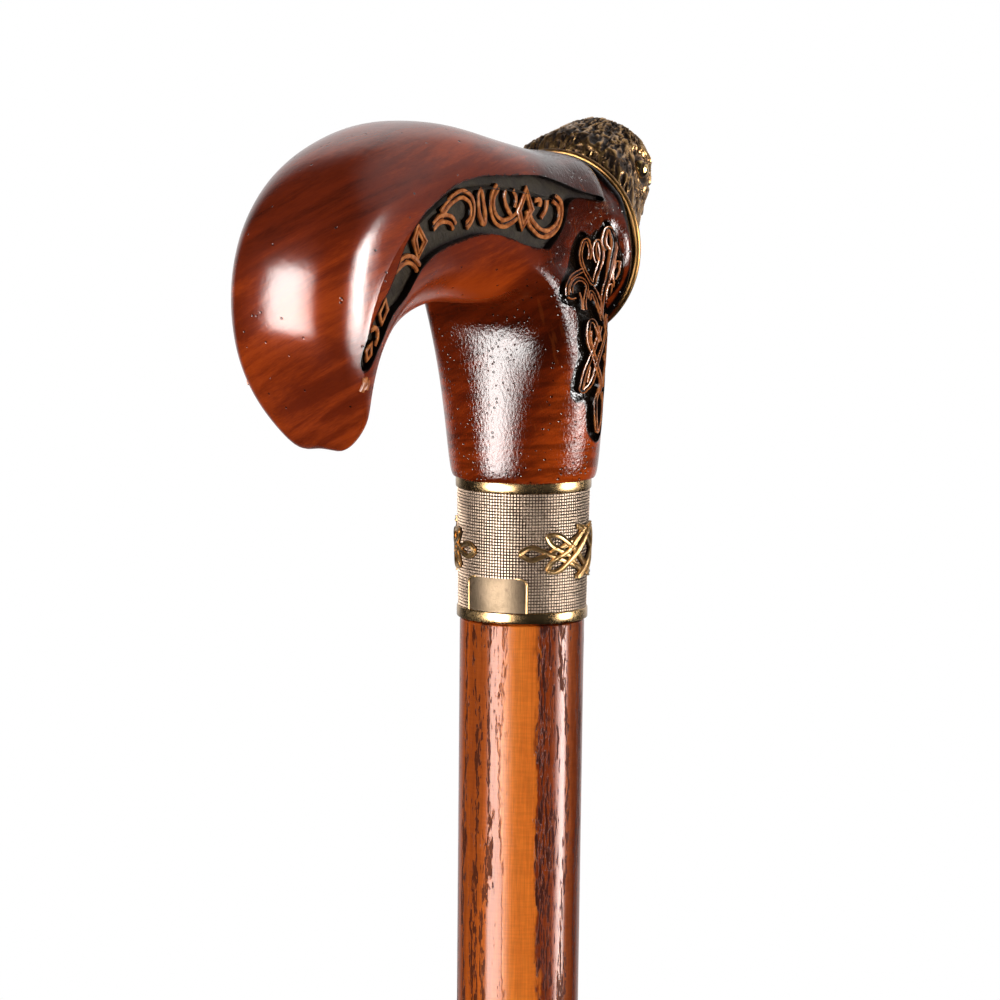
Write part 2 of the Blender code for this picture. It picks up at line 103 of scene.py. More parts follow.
class Editing:
    """One object open in edit mode, whose elements are picked by their place."""

    def __init__(self, obj: bpy.types.Object, kind: Pick = Pick.FACES) -> None:
        """Keeps the object and what is picked in it.

        Args:
            obj: the object to open.
            kind: whether vertices, edges or faces are picked.
        """
        self.obj = obj
        self.kind = kind

    def __enter__(self) -> "Editing":
        """Opens the object with nothing selected."""
        take(self.obj)
        bpy.ops.object.mode_set(mode="EDIT")
        bpy.ops.mesh.select_mode(type=self.kind.value)
        bpy.ops.mesh.select_all(action="DESELECT")
        return self

    def __exit__(self, *_: object) -> None:
        """Closes the object again."""
        bpy.ops.object.mode_set(mode="OBJECT")

    def pick(self, wanted: Callable[[Vector, Vector], bool]) -> int:
        """Selects the elements whose centre and direction pass a test, and no others.

        Args:
            wanted: takes the centre and the normal of a face or vertex, or the unit direction
                of an edge.

        Returns:
            How many were selected.
        """
        bpy.ops.mesh.select_all(action="DESELECT")
        bm = bmesh.from_edit_mesh(self.obj.data)
        count = 0
        if self.kind is Pick.FACES:
            found = [(f, f.calc_center_median(), f.normal) for f in bm.faces]
        elif self.kind is Pick.EDGES:
            found = []
            for edge in bm.edges:
                a, b = (v.co for v in edge.verts)
                found.append((edge, (a + b) / 2, (b - a).normalized()))
        else:
            found = [(v, v.co, v.normal) for v in bm.verts]
        for element, centre, direction in found:
            if wanted(centre, direction):
                element.select_set(True)
                count += 1
        if self.kind is Pick.VERTS:
            bm.select_flush(True)
        bmesh.update_edit_mesh(self.obj.data)
        return count

    def pick_all(self) -> None:
        """Selects everything."""
        bpy.ops.mesh.select_all(action="SELECT")


def clean(obj: bpy.types.Object, distance: float = MERGE) -> bpy.types.Object:
    """Merges doubled vertices and turns every face outwards."""
    with Editing(obj) as edit:
        edit.pick_all()
        bpy.ops.mesh.remove_doubles(threshold=distance)
        bpy.ops.mesh.normals_make_consistent(inside=False)
    return obj


def smooth(obj: bpy.types.Object, angle: float = 35.0) -> bpy.types.Object:
    """Shades smooth across every edge blunter than an angle in degrees."""
    take(obj)
    bpy.ops.object.shade_smooth_by_angle(angle=math.radians(angle), keep_sharp_edges=True)
    return obj


def add_modifier(obj: bpy.types.Object, kind: str, **settings: object) -> bpy.types.Modifier:
    """Adds a modifier with its settings.

    Args:
        obj: the object that gets it.
        kind: Blender's name for the kind of modifier.
        **settings: values for its properties.

    Returns:
        The modifier.
    """
    made = obj.modifiers.new(kind.lower(), kind)
    for name, value in settings.items():
        setattr(made, name, value)
    return made


def apply_modifiers(obj: bpy.types.Object) -> bpy.types.Object:
    """Applies every modifier in order."""
    take(obj)
    for modifier in list(obj.modifiers):
        bpy.ops.object.modifier_apply(modifier=modifier.name)
    return obj


def copy_of(obj: bpy.types.Object, name: str) -> bpy.types.Object:
    """A copy with its own mesh."""
    made = obj.copy()
    made.data = obj.data.copy()
    made.name = name
    made.data.name = name
    bpy.context.scene.collection.objects.link(made)
    return made


def mirrored(obj: bpy.types.Object, name: str) -> bpy.types.Object:
    """A copy of a piece on the other flank, with its faces turned outwards again."""
    made = copy_of(obj, name)
    made.data.transform(Matrix.Diagonal((1.0, -1.0, 1.0, 1.0)))
    made.data.flip_normals()
    return made


def remove(obj: bpy.types.Object) -> None:
    """Deletes a helper object."""
    bpy.data.objects.remove(obj, do_unlink=True)


def cut(obj: bpy.types.Object, tool: bpy.types.Object, folded: bool = False) -> bpy.types.Object:
    """Cuts one object with another, whose material lines the cut.

    Args:
        obj: the object to cut.
        tool: the closed shape that is taken out of it.
        folded: whether a shape may cut through itself.

    Returns:
        The object that was cut.
    """
    add_modifier(
        obj,
        "BOOLEAN",
        object=tool,
        operation="DIFFERENCE",
        solver="EXACT",
        material_mode="TRANSFER",
        use_self=folded,
    )
    return apply_modifiers(obj)


def places_of(obj: bpy.types.Object) -> np.ndarray:
    """The vertices of a mesh as rows of x, y and z."""
    flat = np.empty(3 * len(obj.data.vertices))
    obj.data.vertices.foreach_get("co", flat)
    return flat.reshape(-1, 3)


def place_all(obj: bpy.types.Object, places: np.ndarray) -> None:
    """Puts the vertices of a mesh at new places."""
    obj.data.vertices.foreach_set("co", np.asarray(places, float).ravel())
    obj.data.update()


def normals_of(obj: bpy.types.Object) -> np.ndarray:
    """The vertex normals of a mesh as rows."""
    flat = np.empty(3 * len(obj.data.vertices))
    obj.data.vertex_normals.foreach_get("vector", flat)
    return flat.reshape(-1, 3)


def write_relief(obj: bpy.types.Object, values: np.ndarray) -> None:
    """Keeps how high each vertex stands in its relief, from 0 in the ground to 1 on top."""
    layer = obj.data.attributes.new(RELIEF, "FLOAT", "POINT")
    layer.data.foreach_set("value", np.clip(values, 0.0, 1.0).astype(np.float32))


def lay_grid(name: str, rows: Sequence[Sequence[Vector]]) -> bpy.types.Object:
    """A grid of faces through rows of points.

    Args:
        name: name of the new object.
        rows: rows of equal length, in order.

    Returns:
        The object, whose vertices run row by row.
    """
    deselect_all()
    columns = len(rows[0])
    bpy.ops.mesh.primitive_grid_add(x_subdivisions=columns - 1, y_subdivisions=len(rows) - 1, size=1.0)
    obj = named(name)
    if len(obj.data.vertices) != columns * len(rows):
        raise ValueError(f"{name}: the grid has {len(obj.data.vertices)} vertices")
    place_all(obj, np.array([tuple(p) for row in rows for p in row]))
    return obj


def turn_profile(
    name: str,
    profile: Sequence[Pair],
    steps: int,
    closed: bool = True,
    along: Vector = Vector((0.0, 0.0, 1.0)),
    centre: Vector = Vector((0.0, 0.0, 0.0)),
) -> bpy.types.Object:
    """Spins a profile of (radius, height) points round an axis.

    Args:
        name: name of the new object.
        profile: points in order; an open profile starts and ends on the axis.
        steps: faces round the piece.
        closed: whether the last point joins the first.
        along: unit direction of the axis.
        centre: point on the axis at height 0.

    Returns:
        The turned piece, closed and facing outwards.
    """
    deselect_all()
    bpy.ops.mesh.primitive_circle_add(vertices=len(profile), radius=1.0, fill_type="NOTHING")
    obj = named(name)
    across = Vector((0.0, 0.0, 1.0)) if abs(along.z) < 0.5 else Vector((1.0, 0.0, 0.0))
    places = [centre + along * height + across * radius for radius, height in profile]
    place_all(obj, np.array([tuple(p) for p in places]))
    if not closed:
        middle = (places[0] + places[-1]) / 2
        with Editing(obj, Pick.EDGES) as edit:
            edit.pick(lambda at, _: (at - middle).length < MERGE)
            bpy.ops.mesh.delete(type="EDGE")
    with Editing(obj, Pick.VERTS) as edit:
        edit.pick_all()
        bpy.ops.mesh.spin(steps=steps, angle=FULL_TURN, center=centre, axis=along)
    return clean(obj)


def even_curve(points: Sequence[Pair], closed: bool, per_span: int) -> list[Pair]:
    """Points on a smooth line through the given ones.

    Args:
        points: the points to pass through.
        closed: whether the line comes back to its start.
        per_span: points for each span.

    Returns:
        The finer points.
    """
    count = len(points)
    spans = count if closed else count - 1
    made = []
    for i in range(spans):
        if closed:
            ring = [points[(i + k) % count] for k in (-1, 0, 1, 2)]
        else:
            ring = [points[min(max(i + k, 0), count - 1)] for k in (-1, 0, 1, 2)]
        for step in range(per_span):
            t = step / per_span
            made.append(
                tuple(
                    0.5
                    * (
                        2 * b
                        + (c - a) * t
                        + (2 * a - 5 * b + 4 * c - d) * t**2
                        + (3 * b - a - 3 * c + d) * t**3
                    )
                    for a, b, c, d in zip(*ring)
                )
            )
    if not closed:
        made.append(tuple(points[-1]))
    return made


def finish_piece(
    obj: bpy.types.Object,
    finish: bpy.types.Material | None,
    slot: str,
    *nodes: str,
) -> bpy.types.Object:
    """Dresses a finished piece and ties it to the frame.

    Args:
        obj: the piece, with its place in its mesh.
        finish: the material that covers it, or None where it has its own.
        slot: not used.
        *nodes: the CAD nodes that it stands for.

    Returns:
        The piece.
    """
    if finish is not None:
        obj.data.materials.clear()
        obj.data.materials.append(finish)
    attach(obj, ROOT)
    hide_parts(*nodes)
    LOG.info("%s: %d faces", obj.name, len(obj.data.polygons))
    return obj


# ---------------------------------------------------------------- node graphs and shared effects


def srgb(red: int, green: int, blue: int) -> tuple[float, float, float, float]:
    """A colour given from 0 to 255 as the linear colour that a socket takes."""

    def linear(value: int) -> float:
        """One channel made linear."""
        share = value / 255
        return share / 12.92 if share <= 0.04045 else ((share + 0.055) / 1.055) ** 2.4

    return (linear(red), linear(green), linear(blue), 1.0)


Value = bpy.types.NodeSocket | float | Sequence[float]


class Graph:
    """A node tree that is being laid out, with short calls for the nodes in common use."""

    def __init__(self, tree: bpy.types.NodeTree) -> None:
        """Keeps the tree."""
        self.tree = tree

    def node(self, kind: str, inputs: dict | None = None, **settings: object) -> bpy.types.Node:
        """Adds a node.

        Args:
            kind: Blender's name for the kind of node.
            inputs: sockets or constants for its inputs, by name or number.
            **settings: values for its properties.

        Returns:
            The node.
        """
        made = self.tree.nodes.new(kind)
        made.location = (200 * (len(self.tree.nodes) % 12), -260 * (len(self.tree.nodes) // 12))
        for name, value in settings.items():
            setattr(made, name, value)
        for name, value in (inputs or {}).items():
            if isinstance(value, bpy.types.NodeSocket):
                self.tree.links.new(value, made.inputs[name])
            else:
                made.inputs[name].default_value = value
        return made

    def places(self) -> bpy.types.NodeSocket:
        """Object coordinates."""
        return self.node("ShaderNodeTexCoord").outputs["Object"]

    def attribute(self, name: str) -> bpy.types.NodeSocket:
        """The value of a vertex attribute."""
        return self.node("ShaderNodeAttribute", attribute_name=name).outputs["Fac"]

    def lay_along(
        self,
        vector: Value,
        turn: Sequence[float] = (0.0, 0.0, 0.0),
        stretch: Sequence[float] = (1.0, 1.0, 1.0),
        centre: Sequence[float] = (0.0, 0.0, 0.0),
    ) -> bpy.types.NodeSocket:
        """Coordinates turned and drawn out, so that a pattern on them runs along a direction.

        Args:
            vector: the coordinates.
            turn: how the long direction is turned, in degrees about each axis.
            stretch: how many times longer the pattern is along each turned axis.
            centre: the point that stays put.

        Returns:
            The new coordinates.
        """
        inputs = {
            "Vector": vector,
            "Location": centre,
            "Rotation": [math.radians(a) for a in turn],
            "Scale": stretch,
        }
        return self.node("ShaderNodeMapping", inputs, vector_type="TEXTURE").outputs[0]

    def noise(
        self,
        vector: Value,
        scale: Value,
        detail: float = 2.0,
        roughness: float = 0.5,
        distortion: float = 0.0,
    ) -> bpy.types.NodeSocket:
        """A noise value, mostly from 0.3 to 0.7."""
        inputs = {"Vector": vector, "Scale": scale, "Detail": detail, "Roughness": roughness, "Distortion": distortion}
        return self.node("ShaderNodeTexNoise", inputs).outputs[0]

    def maths(self, operation: str, first: Value, second: Value = 0.0) -> bpy.types.NodeSocket:
        """One sum on one or two values."""
        return self.node("ShaderNodeMath", {0: first, 1: second}, operation=operation).outputs[0]

    def levels(
        self, value: Value, low: Value, high: Value, to_low: Value = 0.0, to_high: Value = 1.0
    ) -> bpy.types.NodeSocket:
        """A value eased from one range to another and held inside it."""
        inputs = {0: value, 1: low, 2: high, 3: to_low, 4: to_high}
        return self.node("ShaderNodeMapRange", inputs, interpolation_type="SMOOTHSTEP").outputs[0]

    def mix(self, share: Value, first: Value, second: Value, how: str = "MIX") -> bpy.types.NodeSocket:
        """Two colours mixed."""
        inputs = {0: share, 6: first, 7: second}
        return self.node("ShaderNodeMix", inputs, data_type="RGBA", blend_type=how).outputs[2]

    def ramp(self, value: Value, stops: Sequence[tuple[float, tuple]]) -> bpy.types.NodeSocket:
        """A colour read off a ramp of (place, colour) stops."""
        node = self.node("ShaderNodeValToRGB", {0: value})
        elements = node.color_ramp.elements
        for element, (place, colour) in zip(elements, (stops[0], stops[-1])):
            element.position, element.color = place, colour
        for place, colour in stops[1:-1]:
            elements.new(place).color = colour
        return node.outputs[0]

    def bump(self, height: Value, distance: float, strength: float = 1.0) -> bpy.types.NodeSocket:
        """A normal bumped by a height from 0 to 1 that stands for a distance."""
        inputs = {"Strength": strength, "Distance": distance, "Height": height}
        return self.node("ShaderNodeBump", inputs).outputs[0]

    def axes(self, vector: Value) -> list[bpy.types.NodeSocket]:
        """The three coordinates of a vector."""
        return list(self.node("ShaderNodeSeparateXYZ", {0: vector}).outputs)

    def effect(self, group: bpy.types.NodeTree, inputs: dict) -> bpy.types.Node:
        """Places a shared effect with its own values."""
        made = self.node("ShaderNodeGroup", node_tree=group)
        for name, value in inputs.items():
            if isinstance(value, bpy.types.NodeSocket):
                self.tree.links.new(value, made.inputs[name])
            else:
                made.inputs[name].default_value = value
        return made


class SharedEffect:
    """An effect that several finishes use, kept as one node group."""

    def __init__(self, name: str, inputs: dict[str, float | None], outputs: Sequence[str]) -> None:
        """Makes the empty group.

        Args:
            name: name of the group.
            inputs: each value input with its default, or None for a vector.
            outputs: names of the value outputs.
        """
        self.group = bpy.data.node_groups.new(name, "ShaderNodeTree")
        for label, default in inputs.items():
            kind = "NodeSocketVector" if default is None else "NodeSocketFloat"
            socket = self.group.interface.new_socket(label, in_out="INPUT", socket_type=kind)
            if default is not None:
                socket.default_value = default
        for label in outputs:
            self.group.interface.new_socket(label, in_out="OUTPUT", socket_type="NodeSocketFloat")
        self.graph = Graph(self.group)
        self.source = self.graph.node("NodeGroupInput")
        self.sink = self.graph.node("NodeGroupOutput")

    def given(self, label: str) -> bpy.types.NodeSocket:
        """One of the group's inputs, seen from inside."""
        return self.source.outputs[label]

    def gives(self, label: str, value: bpy.types.NodeSocket) -> None:
        """Sends a value to one of the group's outputs."""
        self.group.links.new(value, self.sink.inputs[label])


class Effects:
    """The shared effects, each built once."""

    def __init__(self) -> None:
        """Builds every group."""
        self.grain = self._grain()
        self.pores = self._pores()
        self.patina = self._patina()
        self.handling = self._handling()

    @staticmethod
    def _grain() -> bpy.types.NodeTree:
        """Broad figure and fine fibre of wood, on coordinates drawn out along the grain."""
        effect = SharedEffect("wood_grain", {"Vector": None, "Scale": 100.0}, ("Figure", "Fibre"))
        g, vector, scale = effect.graph, effect.given("Vector"), effect.given("Scale")
        effect.gives("Figure", g.noise(vector, scale, 3.0, 0.55, 0.8))
        effect.gives("Fibre", g.noise(vector, g.maths("MULTIPLY", scale, 14.0), 3.0, 0.65, 0.2))
        return effect.group

    @staticmethod
    def _pores() -> bpy.types.NodeTree:
        """Open pores: 1 in a pore and 0 between them, more of them where Share is higher."""
        effect = SharedEffect("open_pores", {"Vector": None, "Scale": 1000.0, "Share": 0.5, "Width": 0.3}, ("Pore",))
        g, vector, scale = effect.graph, effect.given("Vector"), effect.given("Scale")
        cells = g.node("ShaderNodeTexVoronoi", {"Vector": vector, "Scale": scale})
        width = effect.given("Width")
        spot = g.levels(cells.outputs["Distance"], g.maths("MULTIPLY", width, 0.45), width, 1.0, 0.0)
        chance = g.axes(cells.outputs["Color"])[0]
        kept = g.maths("LESS_THAN", chance, effect.given("Share"))
        effect.gives("Pore", g.maths("MULTIPLY", spot, kept))
        return effect.group

    @staticmethod
    def _patina() -> bpy.types.NodeTree:
        """How far high places are rubbed bright: 0 in the ground, 1 where hands wear it."""
        effect = SharedEffect("rubbed_patina", {"Vector": None, "Relief": 0.5, "Low": 0.3, "High": 0.8}, ("Rub",))
        g, vector = effect.graph, effect.given("Vector")
        drift = g.levels(g.noise(vector, 260.0, 3.0, 0.6), 0.3, 0.7, -0.14, 0.14)
        relief = g.maths("ADD", effect.given("Relief"), drift)
        effect.gives("Rub", g.levels(relief, effect.given("Low"), effect.given("High")))
        return effect.group

    @staticmethod
    def _handling() -> bpy.types.NodeTree:
        """Roughness that drifts with faint smears and fine scratches."""
        effect = SharedEffect("handling", {"Vector": None, "Base": 0.2, "Spread": 0.1}, ("Roughness",))
        g, vector = effect.graph, effect.given("Vector")
        smear = g.noise(vector, 90.0, 3.0, 0.6)
        fine = g.noise(vector, 2600.0, 2.0, 0.6)
        both = g.maths("ADD", g.maths("MULTIPLY", smear, 0.65), g.maths("MULTIPLY", fine, 0.35))
        swing = g.levels(both, 0.35, 0.68, -0.5, 0.5)
        drift = g.maths("MULTIPLY", swing, effect.given("Spread"))
        effect.gives("Roughness", g.maths("ADD", effect.given("Base"), drift))
        return effect.group


# ---------------------------------------------------------------- finishes


@dataclass(frozen=True)
class Finish:
    """What every finish shares: its name and the effects that it may use."""

    name: str
    effects: Effects

    def start(self) -> tuple[bpy.types.Material, Graph, bpy.types.Node]:
        """An empty material, its graph and its shader."""
        material = bpy.data.materials.new(self.name)
        material.use_nodes = True
        graph = Graph(material.node_tree)
        return material, graph, material.node_tree.nodes["Principled BSDF"]

    def set(self, graph: Graph, shader: bpy.types.Node, **inputs: Value) -> None:
        """Feeds the shader's inputs, whose names are given with underscores.

        Args:
            graph: the material's graph.
            shader: its Principled shader.
            **inputs: sockets or constants.
        """
        for name, value in inputs.items():
            socket = shader.inputs[name.replace("_", " ")]
            if isinstance(value, bpy.types.NodeSocket):
                graph.tree.links.new(value, socket)
            else:
                socket.default_value = value


@dataclass(frozen=True)
class CarvedWood(Finish):
    """Red-brown stained hardwood under gloss lacquer, with open pores in the neck, painted light on the crown and the
    belly and painted shade high on the neck.
    """

    dark: tuple = srgb(62, 17, 5)
    middle: tuple = srgb(116, 37, 8)
    light: tuple = srgb(178, 68, 16)
    seat_centre: float = 890.3 * MM
    lip_start: float = 7.7 * MM
    lip_radius: float = 14.4 * MM

    def make(self) -> bpy.types.Material:
        """Lays out the material.

        Returns:
            The material.
        """
        material, g, shader = self.start()
        where = g.places()
        x, y, z = g.axes(where)
        on_neck = g.levels(x, -0.026, -0.012)
        # layers of the grain rise to the right as seen from behind the right shoulder
        layers = g.lay_along(where, (-29.4, -9.3, 0.0), (9.0, 9.0, 1.0), (-0.03, 0.0, 0.89))
        grain = g.effect(self.effects.grain, {"Vector": layers, "Scale": 400.0})
        figure = g.levels(grain.outputs["Figure"], 0.28, 0.72, 0.12, 0.9)
        fibre = grain.outputs["Fibre"]
        broad = g.levels(g.noise(g.lay_along(where, (-29.4, -9.3, 0.0), (2.2, 2.2, 1.0)), 38.0, 2.0, 0.5), 0.3, 0.7, -0.16, 0.16)
        # darker over the upper tail, then lighter again along the crown, where the lightening is painted light from
        # above
        high = g.maths("ADD", g.levels(z, 0.886, 0.9, 0.0, -0.26), g.levels(z, 0.902, 0.913, 0.0, 0.3))
        # painted light on the underside of the arch, as if lit from below
        belly = g.maths("MULTIPLY", g.levels(z, 0.892, 0.883, 0.0, 0.36), g.levels(x, -0.018, -0.028))
        belly = g.maths("MULTIPLY", belly, g.levels(x, -0.068, -0.06))
        # darker towards the rear of the neck, and painted shade up the neck under the arch of the tail
        back = g.maths("MULTIPLY", g.levels(x, -0.0125, -0.0085, -0.3, 0.0), on_neck)
        high = g.maths("ADD", g.maths("ADD", high, back), g.maths("ADD", belly, g.maths("MULTIPLY", g.levels(z, 0.866, 0.88, 0.1, -0.3), on_neck)))
        shade = g.maths("ADD", g.maths("MULTIPLY", figure, 0.34), g.maths("MULTIPLY", fibre, 0.34))
        base = g.maths("ADD", high, g.levels(on_neck, 0.0, 1.0, 0.36, 0.47))
        shade = g.maths("ADD", g.maths("ADD", shade, broad), base)
        colour = g.ramp(shade, ((0.12, self.dark), (0.52, self.middle), (0.9, self.light)))
        # curl across the neck, and short bright rays that lean the other way
        curl = g.lay_along(where, (-6.0, 4.0, 0.0), (7.0, 7.0, 1.0))
        band = g.levels(g.noise(curl, 520.0, 3.0, 0.6, 0.3), 0.44, 0.62, 0.0, 0.55)
        colour = g.mix(g.maths("MULTIPLY", band, on_neck), colour, self.dark)
        rays = g.noise(g.lay_along(where, (0.0, 62.0, 0.0), (12.0, 1.0, 1.0)), 900.0, 2.0, 0.5)
        ray = g.maths("MULTIPLY", g.levels(rays, 0.62, 0.7, 0.0, 0.1), on_neck)
        colour = g.mix(ray, colour, srgb(196, 96, 38))
        # open pores, dense in the neck and rare on the tail
        drawn = g.lay_along(where, (0.0, 10.0, 0.0), (1.7, 1.0, 1.0))
        patch = g.levels(g.noise(where, 130.0, 2.0), 0.4, 0.58, 0.15, 1.0)
        share = g.maths("MULTIPLY", g.levels(on_neck, 0.0, 1.0, 0.06, 0.85), patch)
        pores = g.effect(
            self.effects.pores, {"Vector": drawn, "Scale": 1150.0, "Share": share, "Width": 0.3}
        )
        pore = pores.outputs["Pore"]
        colour = g.mix(g.maths("MULTIPLY", pore, 0.8), colour, srgb(24, 7, 4))
        # black lacquer round the lip of the seat
        up = g.maths("SUBTRACT", z, self.seat_centre)
        radial = g.maths("SQRT", g.maths("ADD", g.maths("POWER", y, 2.0), g.maths("POWER", up, 2.0)))
        lip = g.maths(
            "MULTIPLY",
            g.levels(x, self.lip_start - 0.3 * MM, self.lip_start + 0.2 * MM),
            g.levels(radial, self.lip_radius - 0.5 * MM, self.lip_radius),
        )
        lip = g.maths("MULTIPLY", lip, g.levels(radial, self.lip_radius + 2.6 * MM, self.lip_radius + 3.4 * MM, 1.0, 0.0))
        colour = g.mix(lip, colour, srgb(12, 7, 6))
        # black along the edges of the carving: partly stain that has crept over them, partly painted shade where the
        # wood turns down into the ground
        edge = g.levels(g.attribute(RELIEF), 0.03, 0.16, 0.9, 0.0)
        colour = g.mix(edge, colour, srgb(22, 9, 5))
        rough = g.effect(self.effects.handling, {"Vector": where, "Base": g.levels(on_neck, 0.0, 1.0, 0.19, 0.075), "Spread": 0.05})
        ripple = g.noise(g.lay_along(where, (0.0, 20.0, 0.0), (1.0, 1.0, 1.8)), 2100.0, 3.0, 0.6)
        ripple = g.maths("MULTIPLY", ripple, g.levels(on_neck, 0.0, 1.0, 0.15, 1.6))
        wave = g.maths("MULTIPLY", g.noise(where, 330.0, 2.0), 0.9)
        dips = g.maths("ADD", g.maths("MULTIPLY", pore, -1.3), g.maths("ADD", ripple, wave))
        self.set(
            g,
            shader,
            Base_Color=colour,
            Roughness=rough.outputs["Roughness"],
            Normal=g.bump(dips, 0.05 * MM, 1.0),
        )
        return material


@dataclass(frozen=True)
class CarvingGround(Finish):
    """Dark stain in the ground of the carving, glossy or matt, with painted shade along its walls."""

    deep: tuple = srgb(18, 10, 6)
    dusty: tuple = srgb(44, 37, 26)
    dust: float = 0.5
    roughness: float = 0.3
    chisel: float = 0.12 * MM
    gloss: float = 0.5

    def make(self) -> bpy.types.Material:
        """Lays out the material.

        Returns:
            The material.
        """
        material, g, shader = self.start()
        where = g.places()
        patch = g.noise(where, 420.0, 4.0, 0.65)
        # dusty patches away from the walls; near them the deep colour stays, a painted shade under the walls
        dust_and_wall_shade = g.maths(
            "MULTIPLY", g.levels(patch, 0.34, 0.6, 0.15, self.dust), g.levels(g.attribute(RELIEF), 0.1, 0.36)
        )
        colour = g.mix(dust_and_wall_shade, self.deep, self.dusty)
        rough = g.effect(
            self.effects.handling, {"Vector": where, "Base": self.roughness, "Spread": 0.5 * self.roughness}
        )
        chisel = g.noise(g.lay_along(where, (0.0, 30.0, 0.0), (3.0, 1.0, 1.0)), 1300.0, 2.0, 0.6)
        self.set(
            g,
            shader,
            Base_Color=colour,
            Roughness=rough.outputs["Roughness"],
            Specular_IOR_Level=self.gloss,
            Normal=g.bump(chisel, self.chisel, 1.0),
        )
        return material


@dataclass(frozen=True)
class RubbedStrand(Finish):
    """Carved strand: dark stain in its groove and down its sides, bare wood along its edges."""

    stain: tuple = srgb(24, 11, 6)
    bare: tuple = srgb(204, 124, 66)
    low: float = 0.62
    high: float = 0.86

    def make(self) -> bpy.types.Material:
        """Lays out the material.

        Returns:
            The material.
        """
        material, g, shader = self.start()
        where = g.places()
        rub = g.effect(
            self.effects.patina,
            {"Vector": where, "Relief": g.attribute(RELIEF), "Low": self.low, "High": self.high},
        ).outputs["Rub"]
        tint = g.mix(g.levels(g.noise(where, 700.0, 3.0), 0.35, 0.65), self.bare, srgb(158, 84, 40))
        self.set(
            g,
            shader,
            Base_Color=g.mix(rub, self.stain, tint),
            Roughness=g.effect(
                self.effects.handling, {"Vector": where, "Base": 0.2, "Spread": 0.12}
            ).outputs["Roughness"],
            Normal=g.bump(g.noise(where, 2200.0, 2.0), 0.06 * MM, 1.0),
        )
        return material


